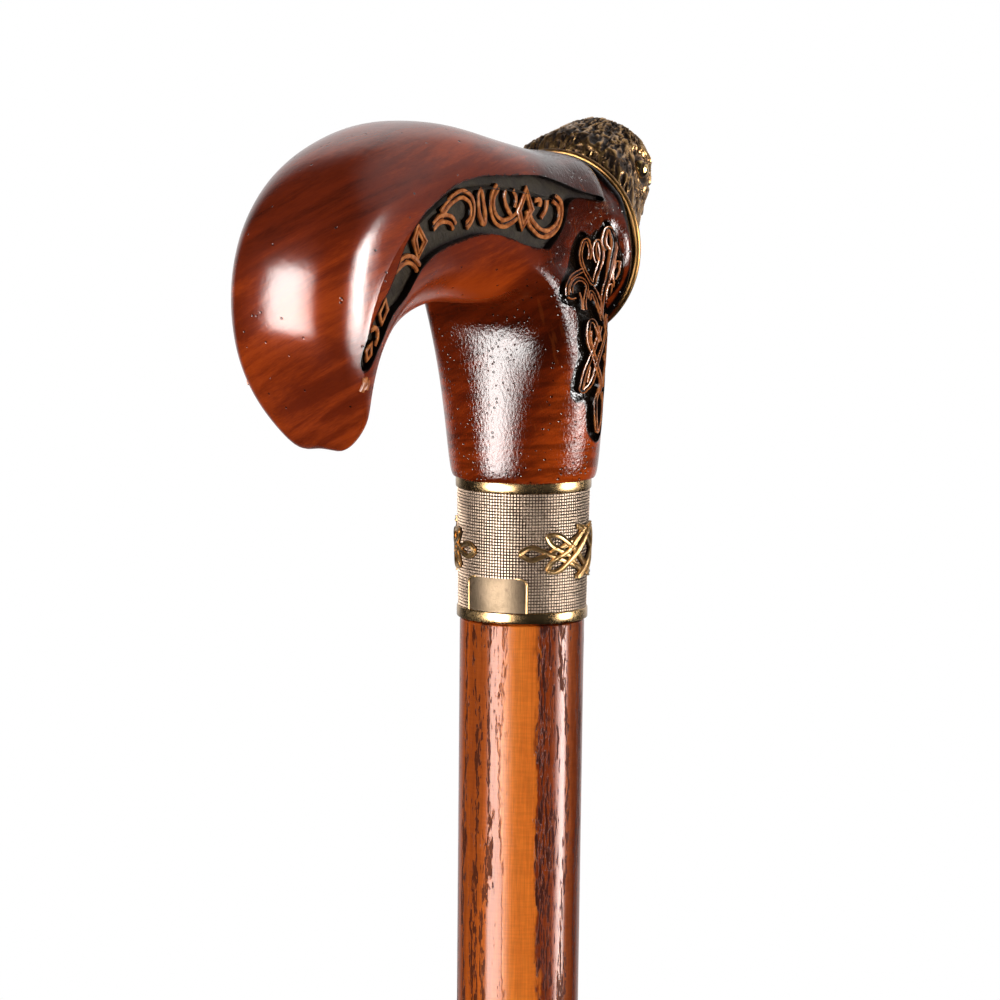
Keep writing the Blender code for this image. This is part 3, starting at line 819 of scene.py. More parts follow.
@dataclass(frozen=True)
class AshWood(Finish):
    """Stained ash of the shaft: orange wood, a dark side and broken lines of open pores."""

    line: tuple = srgb(42, 12, 4)
    sides: tuple[tuple[float, tuple], ...] = (
        (-180.0, srgb(160, 74, 24)),
        (-95.0, srgb(122, 50, 18)),
        (-50.0, srgb(158, 72, 24)),
        (-20.0, srgb(196, 92, 26)),
        (12.0, srgb(214, 108, 34)),
        (16.0, srgb(232, 128, 44)),
        (42.0, srgb(222, 112, 34)),
        (46.0, srgb(118, 38, 4)),
        (58.0, srgb(148, 56, 8)),
        (72.0, srgb(176, 84, 32)),
        (92.0, srgb(104, 38, 10)),
        (130.0, srgb(148, 66, 24)),
        (180.0, srgb(160, 74, 24)),
    )
    pore_lines: tuple[Pair, ...] = (
        (-33.0, 4.0), (-19.0, 3.0), (-6.0, 4.5), (14.0, 3.0), (72.0, 5.0), (95.0, 4.0), (118.0, 3.0),
        (150.0, 5.0), (-165.0, 4.0), (-138.0, 3.0), (-112.0, 5.0), (-84.0, 3.0), (-58.0, 4.0),
    )  # fmt: skip

    def make(self) -> bpy.types.Material:
        """Lays out the material.

        Returns:
            The material.
        """
        material, g, shader = self.start()
        where = g.places()
        x, y, z = g.axes(where)
        along = g.lay_along(where, stretch=(1.0, 1.0, 26.0))
        grain = g.effect(self.effects.grain, {"Vector": along, "Scale": 260.0})
        # the turn round the shaft, from the rear towards the right, with wavy borders
        drift = g.noise(g.lay_along(where, stretch=(1.0, 1.0, 8.0)), 240.0, 2.0)
        ripple = g.noise(g.lay_along(where, stretch=(1.0, 1.0, 3.0)), 1300.0, 2.0)
        wave = g.maths("ADD", g.levels(drift, 0.3, 0.7, -6.0, 6.0), g.levels(ripple, 0.3, 0.7, -2.2, 2.2))
        turn = g.maths("ARCTAN2", g.maths("MULTIPLY", y, -1.0), g.maths("MULTIPLY", x, -1.0))
        turn = g.maths("ADD", g.maths("MULTIPLY", turn, 180.0 / math.pi), wave)
        share = g.node("ShaderNodeMapRange", {0: turn, 1: -180.0, 2: 180.0, 3: 0.0, 4: 1.0}).outputs[0]
        colour = g.ramp(share, tuple(((degrees + 180.0) / 360.0, tint) for degrees, tint in self.sides))
        figure = g.levels(grain.outputs["Figure"], 0.34, 0.66, 0.0, 0.5)
        plain = g.maths("MULTIPLY", g.levels(turn, 10.0, 17.0), g.levels(turn, 38.0, 44.0, 1.0, 0.0))
        calm = g.levels(plain, 0.0, 1.0, 1.0, 0.2)
        colour = g.mix(g.maths("MULTIPLY", figure, calm), colour, srgb(96, 40, 20))
        # dashes of open pores, drawn out along the shaft
        dashes = g.noise(g.lay_along(where, stretch=(1.0, 1.0, 8.0)), 2700.0, 3.0, 0.62)
        rows = g.levels(g.noise(along, 620.0, 2.0, 0.5), 0.44, 0.52)
        dark_side = g.maths("MULTIPLY", g.levels(turn, 41.0, 46.0), g.levels(turn, 54.0, 70.0, 1.0, 0.0))
        rows = g.maths("MAXIMUM", g.maths("MULTIPLY", rows, 0.35), g.maths("MULTIPLY", dark_side, 0.72))
        for centre, width in self.pore_lines:
            away = g.maths("ABSOLUTE", g.maths("SUBTRACT", turn, centre))
            rows = g.maths("MAXIMUM", rows, g.levels(away, 0.4 * width, width, 1.0, 0.0))
        limit = g.levels(rows, 0.0, 1.0, 0.7, 0.46)
        pore = g.levels(dashes, g.maths("SUBTRACT", limit, 0.03), g.maths("ADD", limit, 0.02))
        pore = g.maths("MULTIPLY", pore, g.levels(plain, 0.0, 1.0, 1.0, 0.1))
        colour = g.mix(g.maths("MULTIPLY", pore, 0.85), colour, self.line)
        # fine fibre, crossed by the faint ripple of the lathe
        fibre = g.levels(grain.outputs["Fibre"], 0.3, 0.7, 0.86, 1.1)
        cross = g.levels(g.noise(g.lay_along(where, stretch=(9.0, 9.0, 1.0)), 2600.0, 2.0), 0.3, 0.7, 0.93, 1.05)
        tone = g.maths("MULTIPLY", fibre, cross)
        colour = g.mix(1.0, colour, g.node("ShaderNodeCombineColor", {0: tone, 1: tone, 2: tone}).outputs[0], "MULTIPLY")
        self.set(
            g,
            shader,
            Base_Color=colour,
            Roughness=g.effect(
                self.effects.handling, {"Vector": along, "Base": g.levels(pore, 0.0, 1.0, 0.17, 0.45), "Spread": 0.08}
            ).outputs["Roughness"],
            Normal=g.bump(g.maths("MULTIPLY", pore, -1.0), 0.03 * MM, 1.0),
            Specular_IOR_Level=g.levels(pore, 0.0, 1.0, 0.24, 0.05),
        )
        return material


@dataclass(frozen=True)
class AgedBronze(Finish):
    """Cast bronze: brown-black in its ground, dull on its flanks, rubbed bright on top."""

    ground: tuple = srgb(44, 32, 24)
    flank: tuple = srgb(124, 94, 60)
    bright: tuple = srgb(206, 164, 108)
    low: float = 0.25
    high: float = 0.85
    rough_ground: float = 0.55
    rough_top: float = 0.26

    def make(self) -> bpy.types.Material:
        """Lays out the material.

        Returns:
            The material.
        """
        material, g, shader = self.start()
        where = g.places()
        rub = g.effect(
            self.effects.patina,
            {"Vector": where, "Relief": g.attribute(RELIEF), "Low": self.low, "High": self.high},
        ).outputs["Rub"]
        colour = g.ramp(rub, ((0.0, self.ground), (0.45, self.flank), (1.0, self.bright)))
        stain = g.levels(g.noise(where, 520.0, 4.0, 0.65), 0.5, 0.72, 0.0, 0.5)
        colour = g.mix(stain, colour, self.ground)
        self.set(
            g,
            shader,
            Base_Color=colour,
            Metallic=g.levels(rub, 0.0, 0.5, 0.75, 1.0),
            Roughness=g.levels(rub, 0.0, 1.0, self.rough_ground, self.rough_top),
            Normal=g.bump(g.noise(where, 3200.0, 3.0, 0.6), 0.04 * MM, 1.0),
        )
        return material


@dataclass(frozen=True)
class PolishedBrass(Finish):
    """Lightly aged polished brass with fine turning marks and dull spots."""

    bright: tuple = srgb(182, 150, 106)
    dull: tuple = srgb(112, 82, 54)
    roughness: float = 0.26

    def make(self) -> bpy.types.Material:
        """Lays out the material.

        Returns:
            The material.
        """
        material, g, shader = self.start()
        where = g.places()
        spots = g.levels(g.noise(where, 380.0, 4.0, 0.7), 0.52, 0.7, 0.0, 0.7)
        marks = g.noise(g.lay_along(where, stretch=(9.0, 9.0, 1.0)), 3000.0, 2.0)
        self.set(
            g,
            shader,
            Base_Color=g.mix(spots, self.bright, self.dull),
            Metallic=1.0,
            Roughness=g.effect(
                self.effects.handling, {"Vector": where, "Base": self.roughness, "Spread": 0.16}
            ).outputs["Roughness"],
            Normal=g.bump(marks, 0.02 * MM, 1.0),
        )
        return material


@dataclass(frozen=True)
class PlatedSteel(Finish):
    """Zinc-plated steel of the hidden studs, with a crystal bloom."""

    pale: tuple = srgb(190, 192, 194)
    dull: tuple = srgb(140, 142, 146)

    def make(self) -> bpy.types.Material:
        """Lays out the material.

        Returns:
            The material.
        """
        material, g, shader = self.start()
        where = g.places()
        bloom = g.node("ShaderNodeTexVoronoi", {"Vector": where, "Scale": 900.0}).outputs["Color"]
        self.set(
            g,
            shader,
            Base_Color=g.mix(g.axes(bloom)[0], self.pale, self.dull),
            Metallic=1.0,
            Roughness=g.effect(
                self.effects.handling, {"Vector": where, "Base": 0.36, "Spread": 0.14}
            ).outputs["Roughness"],
            Normal=g.bump(g.noise(where, 2600.0, 2.0), 0.02 * MM, 1.0),
        )
        return material


@dataclass(frozen=True)
class MouldedRubber(Finish):
    """Black moulded rubber, dusty on its ribs and scuffed at the tread."""

    black: tuple = srgb(26, 26, 27)
    dust: tuple = srgb(74, 72, 70)

    def make(self) -> bpy.types.Material:
        """Lays out the material.

        Returns:
            The material.
        """
        material, g, shader = self.start()
        where = g.places()
        _, _, z = g.axes(where)
        scuff = g.maths("MULTIPLY", g.levels(z, 0.0, 7 * MM, 0.8, 0.15), g.levels(g.noise(where, 320.0, 4.0, 0.7), 0.4, 0.65))
        grain = g.noise(where, 2400.0, 3.0, 0.6)
        self.set(
            g,
            shader,
            Base_Color=g.mix(scuff, self.black, self.dust),
            Roughness=g.effect(
                self.effects.handling, {"Vector": where, "Base": 0.62, "Spread": 0.2}
            ).outputs["Roughness"],
            Normal=g.bump(grain, 0.08 * MM, 1.0),
        )
        return material


# ---------------------------------------------------------------- carved strands


@dataclass(frozen=True)
class Strand:
    """One carved or cast strand: a line of points in millimetres, open or closed."""

    points: tuple[Pair, ...]
    closed: bool = False
    pointed: bool = False
    lift: float = 0.0


@dataclass(frozen=True)
class StrandProfile:
    """Cross-section of a strand: half of its (side, height) points from the left foot to the middle."""

    half: tuple[Pair, ...]

    def outline(self) -> list[Pair]:
        """The whole closed outline, left foot to right foot.

        Returns:
            Points (side, height) in metres.
        """
        left = [(s * MM, h * MM) for s, h in self.half]
        right = [(-s, h) for s, h in reversed(left)]
        if abs(left[-1][0]) < 1e-9:
            right = right[1:]
        return left + right


DOUBLE_LINE = StrandProfile(((-1.0, -0.3), (-0.96, 0.6), (-0.86, 0.92), (-0.32, 0.98), (-0.2, 0.7), (0.0, 0.56)))
SINGLE_LINE = StrandProfile(((-0.5, -0.3), (-0.48, 0.6), (-0.36, 0.9), (0.0, 0.98)))
FINE_LINE = StrandProfile(((-0.46, -0.25), (-0.44, 0.55), (-0.38, 0.84), (-0.24, 0.88), (-0.14, 0.62), (0.0, 0.5)))
THIN_LINE = StrandProfile(((-0.22, -0.25), (-0.2, 0.55), (-0.13, 0.82), (0.0, 0.86)))
RIBBON = StrandProfile(((-0.46, -0.2), (-0.46, 0.36), (-0.38, 0.5), (-0.27, 0.47), (-0.2, 0.38), (0.0, 0.36)))
EDGE_LINE = StrandProfile(((-0.2, -0.1), (-0.2, 0.1), (-0.12, 0.2), (0.0, 0.22)))


def sweep_strands(name: str, strands: Sequence[Strand], profile: StrandProfile) -> bpy.types.Object:
    """Sweeps a profile along every strand in the X-Y plane and makes them one mesh.

    Args:
        name: name of the new object.
        strands: the lines to follow.
        profile: the cross-section, whose heights become Z.

    Returns:
        The mesh, flat on the plane, with its relief kept on it.
    """
    deselect_all()
    tool_data = bpy.data.curves.new(f"{name}_profile", "CURVE")
    tool_data.dimensions = "2D"
    outline = profile.outline()
    line = tool_data.splines.new("POLY")
    line.points.add(len(outline) - 1)
    for point, (side, height) in zip(line.points, outline):
        point.co = (side, height, 0.0, 1.0)
    line.use_cyclic_u = True
    tool = bpy.data.objects.new(f"{name}_profile", tool_data)
    bpy.context.scene.collection.objects.link(tool)

    data = bpy.data.curves.new(name, "CURVE")
    data.dimensions = "3D"
    data.twist_mode = "Z_UP"
    data.bevel_mode = "OBJECT"
    data.bevel_object = tool
    data.use_fill_caps = True
    data.resolution_u = 5
    for strand in strands:
        spline = data.splines.new("BEZIER")
        spline.bezier_points.add(len(strand.points) - 1)
        handle = "VECTOR" if strand.pointed else "AUTO"
        for point, (along, up) in zip(spline.bezier_points, strand.points):
            point.co = (along * MM, up * MM, strand.lift * MM)
            point.handle_left_type = point.handle_right_type = handle
        spline.use_cyclic_u = strand.closed
    obj = bpy.data.objects.new(name, data)
    bpy.context.scene.collection.objects.link(obj)
    take(obj)
    bpy.ops.object.convert(target="MESH")
    remove(tool)
    clean(obj)
    heights = places_of(obj)[:, 2]
    top = max(height for _, height in outline)
    write_relief(obj, heights / top)
    return obj


class Flank:
    """The smooth flank of the grip, on which carved lines are laid from the side."""

    def __init__(self, blank: bpy.types.Object, base: float) -> None:
        """Keeps the surface.

        Args:
            blank: the grip before it is carved.
            base: height in the frame at which the carving's heights start.
        """
        mesh = blank.data
        self.normals = normals_of(blank)
        self.faces = [tuple(p.vertices) for p in mesh.polygons]
        self.places = [v.co.copy() for v in mesh.vertices]
        self.tree = BVHTree.FromPolygons(self.places, self.faces)
        self.base = base

    def at(self, x: float, z: float) -> tuple[Vector, Vector]:
        """The point and the normal of the right flank beside a place in the X-Z plane.

        Args:
            x: place along X.
            z: height above the base.

        Returns:
            The point and the unit normal there.
        """
        start = Vector((x, -0.06, self.base + z))
        hit, normal, index, _ = self.tree.ray_cast(start, Vector((0.0, 1.0, 0.0)))
        if hit is None:
            hit, normal, index, _ = self.tree.find_nearest(Vector((x, -0.01, self.base + z)))
        blend = Vector()
        for vertex in self.faces[index]:
            weight = 1.0 / ((self.places[vertex] - hit).length + 1e-5)
            blend += Vector(self.normals[vertex]) * weight
        return hit, blend.normalized()

    def lay(self, obj: bpy.types.Object, floor: float, stretch: float = 1.0) -> bpy.types.Object:
        """Lays a flat piece on the flank, its Z becoming height over the carving's floor.

        Args:
            obj: the piece in the X-Y plane.
            floor: depth of the floor below the surface.
            stretch: how much wider the piece becomes along X.

        Returns:
            The piece in its place.
        """
        flat = places_of(obj)
        laid = np.empty_like(flat)
        for i, (x, z, height) in enumerate(flat):
            point, normal = self.at(x * stretch, z)
            laid[i] = point + normal * (height - floor)
        place_all(obj, laid)
        return clean(obj)


# ---------------------------------------------------------------- the grip


@dataclass(frozen=True)
class GripSection:
    """One cross-section of the grip: crest and belly as shares of its reach and rise."""

    crest: Pair
    belly: Pair
    width: float
    ridge: float
    side: float = 0.76


@dataclass
class Grip:
    """The hooked wooden grip with its neck and seat, carved on both flanks."""

    effects: Effects
    foot: float = 850.3 * MM
    rise: float = 64.3 * MM
    reach: float = 86.2 * MM
    half_width: float = 13.6 * MM
    seat_reach: float = 9.6 * MM
    seat_height: float = 40.0 * MM
    seat_radius: float = 16.5 * MM
    neck_radius: float = 13.1 * MM
    band_depth: float = 1.25 * MM
    neck_depth: float = 1.0 * MM
    seat_angles: tuple[float, ...] = (0, 27, 50, 63, 92, 122, 151, 180)
    sections: tuple[GripSection, ...] = (
        GripSection((0.02, 0.885), (0.02, 0.375), 1.05, 0.765, 1.04),
        GripSection((-0.088, 0.900), (-0.069, 0.415), 1.03, 0.755, 1.03),
        GripSection((-0.206, 0.924), (-0.181, 0.460), 1.01, 0.725, 0.93),
        GripSection((-0.343, 0.958), (-0.284, 0.500), 0.99, 0.70),
        GripSection((-0.500, 0.991), (-0.407, 0.515), 0.975, 0.68),
        GripSection((-0.655, 0.971), (-0.529, 0.510), 0.97, 0.665),
        GripSection((-0.810, 0.905), (-0.642, 0.475), 0.97, 0.625),
        GripSection((-0.930, 0.790), (-0.720, 0.415), 0.94, 0.585),
        GripSection((-0.989, 0.635), (-0.765, 0.345), 0.885, 0.55),
        GripSection((-0.984, 0.458), (-0.782, 0.272), 0.79, 0.50),
        GripSection((-0.907, 0.300), (-0.795, 0.226), 0.655, 0.46),
        GripSection((-0.853, 0.198), (-0.797, 0.184), 0.39, 0.46),
    )
    band_outline: tuple[Pair, ...] = (
        (0.8, 49.9), (-5.5, 51), (-13, 53), (-20.8, 54.5), (-30.8, 54.9), (-39, 55.2),
        (-45, 54.8), (-50.1, 54), (-55.7, 52), (-59.9, 50.3), (-62.3, 48.8), (-65, 46.8),
        (-67.4, 44.1), (-68.7, 41.6), (-70.9, 38.2), (-73.4, 36), (-75.7, 32.8), (-77.2, 29),
        (-77.3, 26.6), (-76.2, 25.4), (-74.4, 26.0), (-72.7, 28.4), (-71, 30.5),
        (-68.6, 34), (-64.2, 36.7), (-61.1, 40.1), (-58.6, 41.9), (-54.7, 43.4), (-50.3, 44.3),
        (-44.9, 45), (-40.6, 45.5), (-35.7, 45.3), (-29.1, 44.2), (-24, 42.8), (-16.7, 41.7),
        (-15.2, 42.3), (-12.8, 44), (-11.2, 46.5), (-10.9, 49.2), (-8.2, 50.2), (-3.6, 49.6),
        (0.5, 49.2),
    )  # fmt: skip
    neck_outline: tuple[Pair, ...] = (
        (2.0, 45.3), (3.2, 45.6), (4.5, 44.7), (5.1, 43.2), (5.3, 41.3), (5.6, 40.1), (5.9, 38.4),
        (6.7, 36), (7.1, 34.3), (6.9, 32.5), (6.2, 30.6), (5.2, 28.6), (4.7, 25.7), (4.7, 23),
        (4.7, 20.5), (4.4, 18.2), (4.2, 16.4), (4.6, 14.2), (4.6, 11.5), (4.2, 9.1), (2.5, 7.4),
        (0.5, 7.1), (-1.7, 8.3), (-2.8, 9.8), (-3.4, 12.2), (-3.6, 14), (-4.5, 14.9), (-6, 14.7),
        (-7.3, 16), (-7.5, 17.7), (-7.4, 20), (-7.2, 21.7), (-6.5, 22.9), (-7.3, 24), (-7.8, 26),
        (-7.9, 28.7), (-8.3, 30), (-8.8, 31.2), (-10.6, 31.7), (-12.5, 32.3), (-13.4, 33.5),
        (-13.4, 35.1), (-12.3, 36.4), (-10.2, 37.6), (-9, 39.1), (-8.2, 40.8), (-7.7, 42.1),
        (-6.5, 43.4), (-5.1, 44.1), (-3.2, 43.7), (-1.6, 43), (-0.5, 43.7), (0.4, 44.1), (1.2, 43.8),
    )  # fmt: skip

    def _section_points(self, section: GripSection) -> list[Vector]:
        """Half of a section on the right flank, from the crest down to the belly."""
        crest = Vector((section.crest[0] * self.reach, 0.0, section.crest[1] * self.rise))
        belly = Vector((section.belly[0] * self.reach, 0.0, section.belly[1] * self.rise))
        width, ridge = section.width * self.half_width, section.ridge
        outline = (
            (0.0, 1.0),
            (0.76 * width, ridge + 0.78 * (1 - ridge)),
            (width, ridge),
            (width, ridge - 0.05),
            (0.93 * width, 0.52 * ridge),
            (section.side * width, 0.17),
            (0.42 * width, 0.035),
            (0.0, 0.0),
        )
        return [belly + (crest - belly) * up + Vector((0.0, -side, self.foot)) for side, up in outline]

    def _seat_points(self, x: float, radius: float, dip: float = 0.0) -> list[Vector]:
        """Half ring of the round seat at a place along X, from the top down the right flank.

        Args:
            x: place along X.
            radius: radius on the flanks.
            dip: how much smaller the radius is above and below.

        Returns:
            The points.
        """
        points = []
        for angle in self.seat_angles:
            turn = math.radians(angle)
            reach = radius - dip * abs(math.cos(turn)) ** 0.8
            z = self.foot + self.seat_height + reach * math.cos(turn)
            points.append(Vector((x, -reach * math.sin(turn), z)))
        return points

    def _neck_points(
        self, z: float, front: float, rear: float, side: float, squareness: float = 2.0
    ) -> list[Vector]:
        """Half ring of the neck at a height, front to rear.

        Args:
            z: height over the foot.
            front: reach forwards.
            rear: reach to the rear.
            side: half width.
            squareness: exponent of the rear half, 2 for round and more for a flat back.

        Returns:
            The points.
        """
        points = []
        for i in range(8):
            turn = math.pi * i / 7
            along, out = math.cos(turn), math.sin(turn)
            if along > 0:
                points.append(Vector((front * along, -side * out, self.foot + z)))
            else:
                size = (abs(along) ** squareness + abs(out) ** squareness) ** (1 / squareness)
                points.append(Vector((rear * along / size, -side * out / size, self.foot + z)))
        return points

    def _cage(self) -> bpy.types.Object:
        """Half cage of the grip: a grid bent along the hook, with the neck drawn out of it.

        Returns:
            The cage of the right half.
        """
        seat = [
            self._seat_points(self.seat_reach, self.seat_radius - 0.4 * MM),
            self._seat_points(self.seat_reach - 1.3 * MM, self.seat_radius),
            self._seat_points(self.seat_reach - 3.4 * MM, self.seat_radius, 1.5 * MM),
        ]
        grip = [self._section_points(s) for s in self.sections]
        rows = seat + grip
        cage = lay_grid("handle", rows)
        spare = grip[0][6:] + grip[1][6:]
        with Editing(cage, Pick.VERTS) as edit:
            edit.pick(lambda at, _: any((at - p).length < MERGE for p in spare))
            bpy.ops.mesh.delete(type="VERT")
        bridge = list(reversed(seat[-1][5:])) + [grip[0][5], grip[1][5]] + grip[2][5:]
        foot = self.neck_radius
        trimmed = foot - 1.2 * MM
        necks = [
            self._neck_points(0.27 * self.rise, 0.82 * foot, 1.06 * foot, 1.13 * foot, 2.25),
            self._neck_points(2.3 * MM, foot, foot, foot),
            self._neck_points(0.4 * MM, trimmed, trimmed, trimmed),
        ]
        for ring in necks:
            self._draw_out(cage, bridge, ring)
            bridge = ring
        for ring in (seat[0], grip[-1], necks[-1]):
            with Editing(cage, Pick.VERTS) as edit:
                edit.pick(lambda at, _, ring=ring: any((at - p).length < MERGE for p in ring))
                bpy.ops.mesh.edge_face_add()
        self._crease(cage, [g[2] for g in grip[1:]], 0.9)
        self._crease(cage, seat[0], 1.0)
        self._crease(cage, necks[-1], 1.0)
        return cage

    @staticmethod
    def _draw_out(cage: bpy.types.Object, start: list[Vector], goal: list[Vector]) -> None:
        """Extrudes the open edges through one row of points and puts them at another.

        Args:
            cage: the cage.
            start: where the open edge's vertices are, in order.
            goal: where the new vertices go.
        """
        with Editing(cage, Pick.VERTS) as edit:
            edit.pick(lambda at, _: any((at - p).length < MERGE for p in start))
            bpy.ops.mesh.extrude_edges_move()
            bm = bmesh.from_edit_mesh(cage.data)
            for vertex in [v for v in bm.verts if v.select]:
                index = min(range(len(start)), key=lambda i: (vertex.co - start[i]).length)
                vertex.co = goal[index]
            bmesh.update_edit_mesh(cage.data)

    @staticmethod
    def _crease(cage: bpy.types.Object, line: list[Vector], value: float) -> None:
        """Creases the edges between neighbouring points of a line."""
        middles = [(a + b) / 2 for a, b in zip(line, line[1:])]
        with Editing(cage, Pick.EDGES) as edit:
            edit.pick(lambda at, _: any((at - m).length < 10 * MERGE for m in middles))
            bpy.ops.transform.edge_crease(value=value)

    def _blank(self) -> bpy.types.Object:
        """The whole grip before carving.

        Returns:
            A closed smooth mesh.
        """
        blank = self._cage()
        add_modifier(blank, "MIRROR", use_axis=(False, True, False), merge_threshold=0.01 * MM)
        add_modifier(blank, "SUBSURF", levels=3, render_levels=3)
        settle(blank)
        apply_modifiers(blank)
        clean(blank)
        return smooth(blank, 40.0)

    def _recess(self, outline: Sequence[Pair], depth: float, blank: bpy.types.Object, ground: bpy.types.Material, name: str) -> bpy.types.Object:
        """The waste of a sunk ground on both flanks: a prism with the grip's core taken out.

        Args:
            outline: edge of the ground, (X, height over the collar) in millimetres.
            depth: how deep the ground lies.
            blank: the grip before carving.
            ground: finish of the ground.
            name: name of the waste.

        Returns:
            The tool that cuts it.
        """
        base = self.foot - 0.3 * MM
        fine = even_curve(outline, True, 3)
        deselect_all()
        bpy.ops.mesh.primitive_circle_add(vertices=len(fine), radius=1.0, fill_type="NGON")
        waste = named(name)
        place_all(waste, np.array([(x * MM, -0.03, base + z * MM) for x, z in fine]))
        with Editing(waste) as edit:
            edit.pick_all()
            bpy.ops.mesh.extrude_region_move(TRANSFORM_OT_translate={"value": (0.0, 0.027, 0.0)})
        clean(waste)
        waste.data.materials.append(ground)
        core = copy_of(blank, "grip_core")
        core.data.materials.clear()
        core.data.materials.append(ground)
        with Editing(core) as edit:
            edit.pick_all()
            bpy.ops.transform.shrink_fatten(value=-depth)
        cut(waste, core, folded=True)
        remove(core)
        add_modifier(waste, "MIRROR", use_axis=(False, True, False), use_mirror_merge=False)
        apply_modifiers(waste)
        return clean(waste)

    def _from_carving(self, places: np.ndarray) -> np.ndarray:
        """How far each place lies from the nearest edge of the carving, seen from the side.

        Args:
            places: the vertices of the grip.

        Returns:
            The distances.
        """
        edges = [even_curve(line, True, 8) for line in (self.band_outline, self.neck_outline)]
        edge = np.array(edges[0] + edges[1]) * MM + np.array((0.0, self.foot - 0.3 * MM))
        near = [
            np.hypot(some[:, :1] - edge[:, 0], some[:, 2:] - edge[:, 1]).min(axis=1)
            for some in np.array_split(places, 40)
        ]
        return np.concatenate(near)

    def build(self) -> bpy.types.Object:
        """Models and dresses the carved grip.

        Returns:
            The grip's blank, which the strands are laid on.
        """
        wood = CarvedWood("lacquered_hardwood", self.effects).make()
        matt = CarvingGround("band_ground", self.effects, dust=0.85, roughness=0.5, gloss=0.16).make()
        glossy = CarvingGround("neck_ground", self.effects, dust=0.05, roughness=0.1, chisel=0.3 * MM).make()
        blank = self._blank()
        blank.data.materials.clear()
        blank.data.materials.append(wood)
        grip = copy_of(blank, "carved_grip")
        for outline, depth, ground, name in (
            (self.band_outline, self.band_depth, matt, "band_waste"),
            (self.neck_outline, self.neck_depth, glossy, "neck_waste"),
        ):
            waste = self._recess(outline, depth, blank, ground, name)
            cut(grip, waste)
            remove(waste)
        smooth(grip, 38.0)
        # distance from the edges of the carving, which the finishes use for the stain and the painted shade along those
        # edges
        write_relief(grip, self._from_carving(places_of(grip)) / (3.0 * MM))
        finish_piece(grip, None, "handle_wood", "handle")
        return blank


def settle(obj: bpy.types.Object, rounds: int = 6) -> None:
    """Moves a cage's points so that the rounded surface passes through where they were put.

    Args:
        obj: the cage with its live modifiers.
        rounds: how many times the cage is moved.
    """
    wanted = places_of(obj)
    for _ in range(rounds):
        bpy.context.view_layer.update()
        shape = obj.evaluated_get(bpy.context.evaluated_depsgraph_get())
        reached = places_of(shape)[: len(wanted)]
        place_all(obj, places_of(obj) + 0.9 * (wanted - reached))


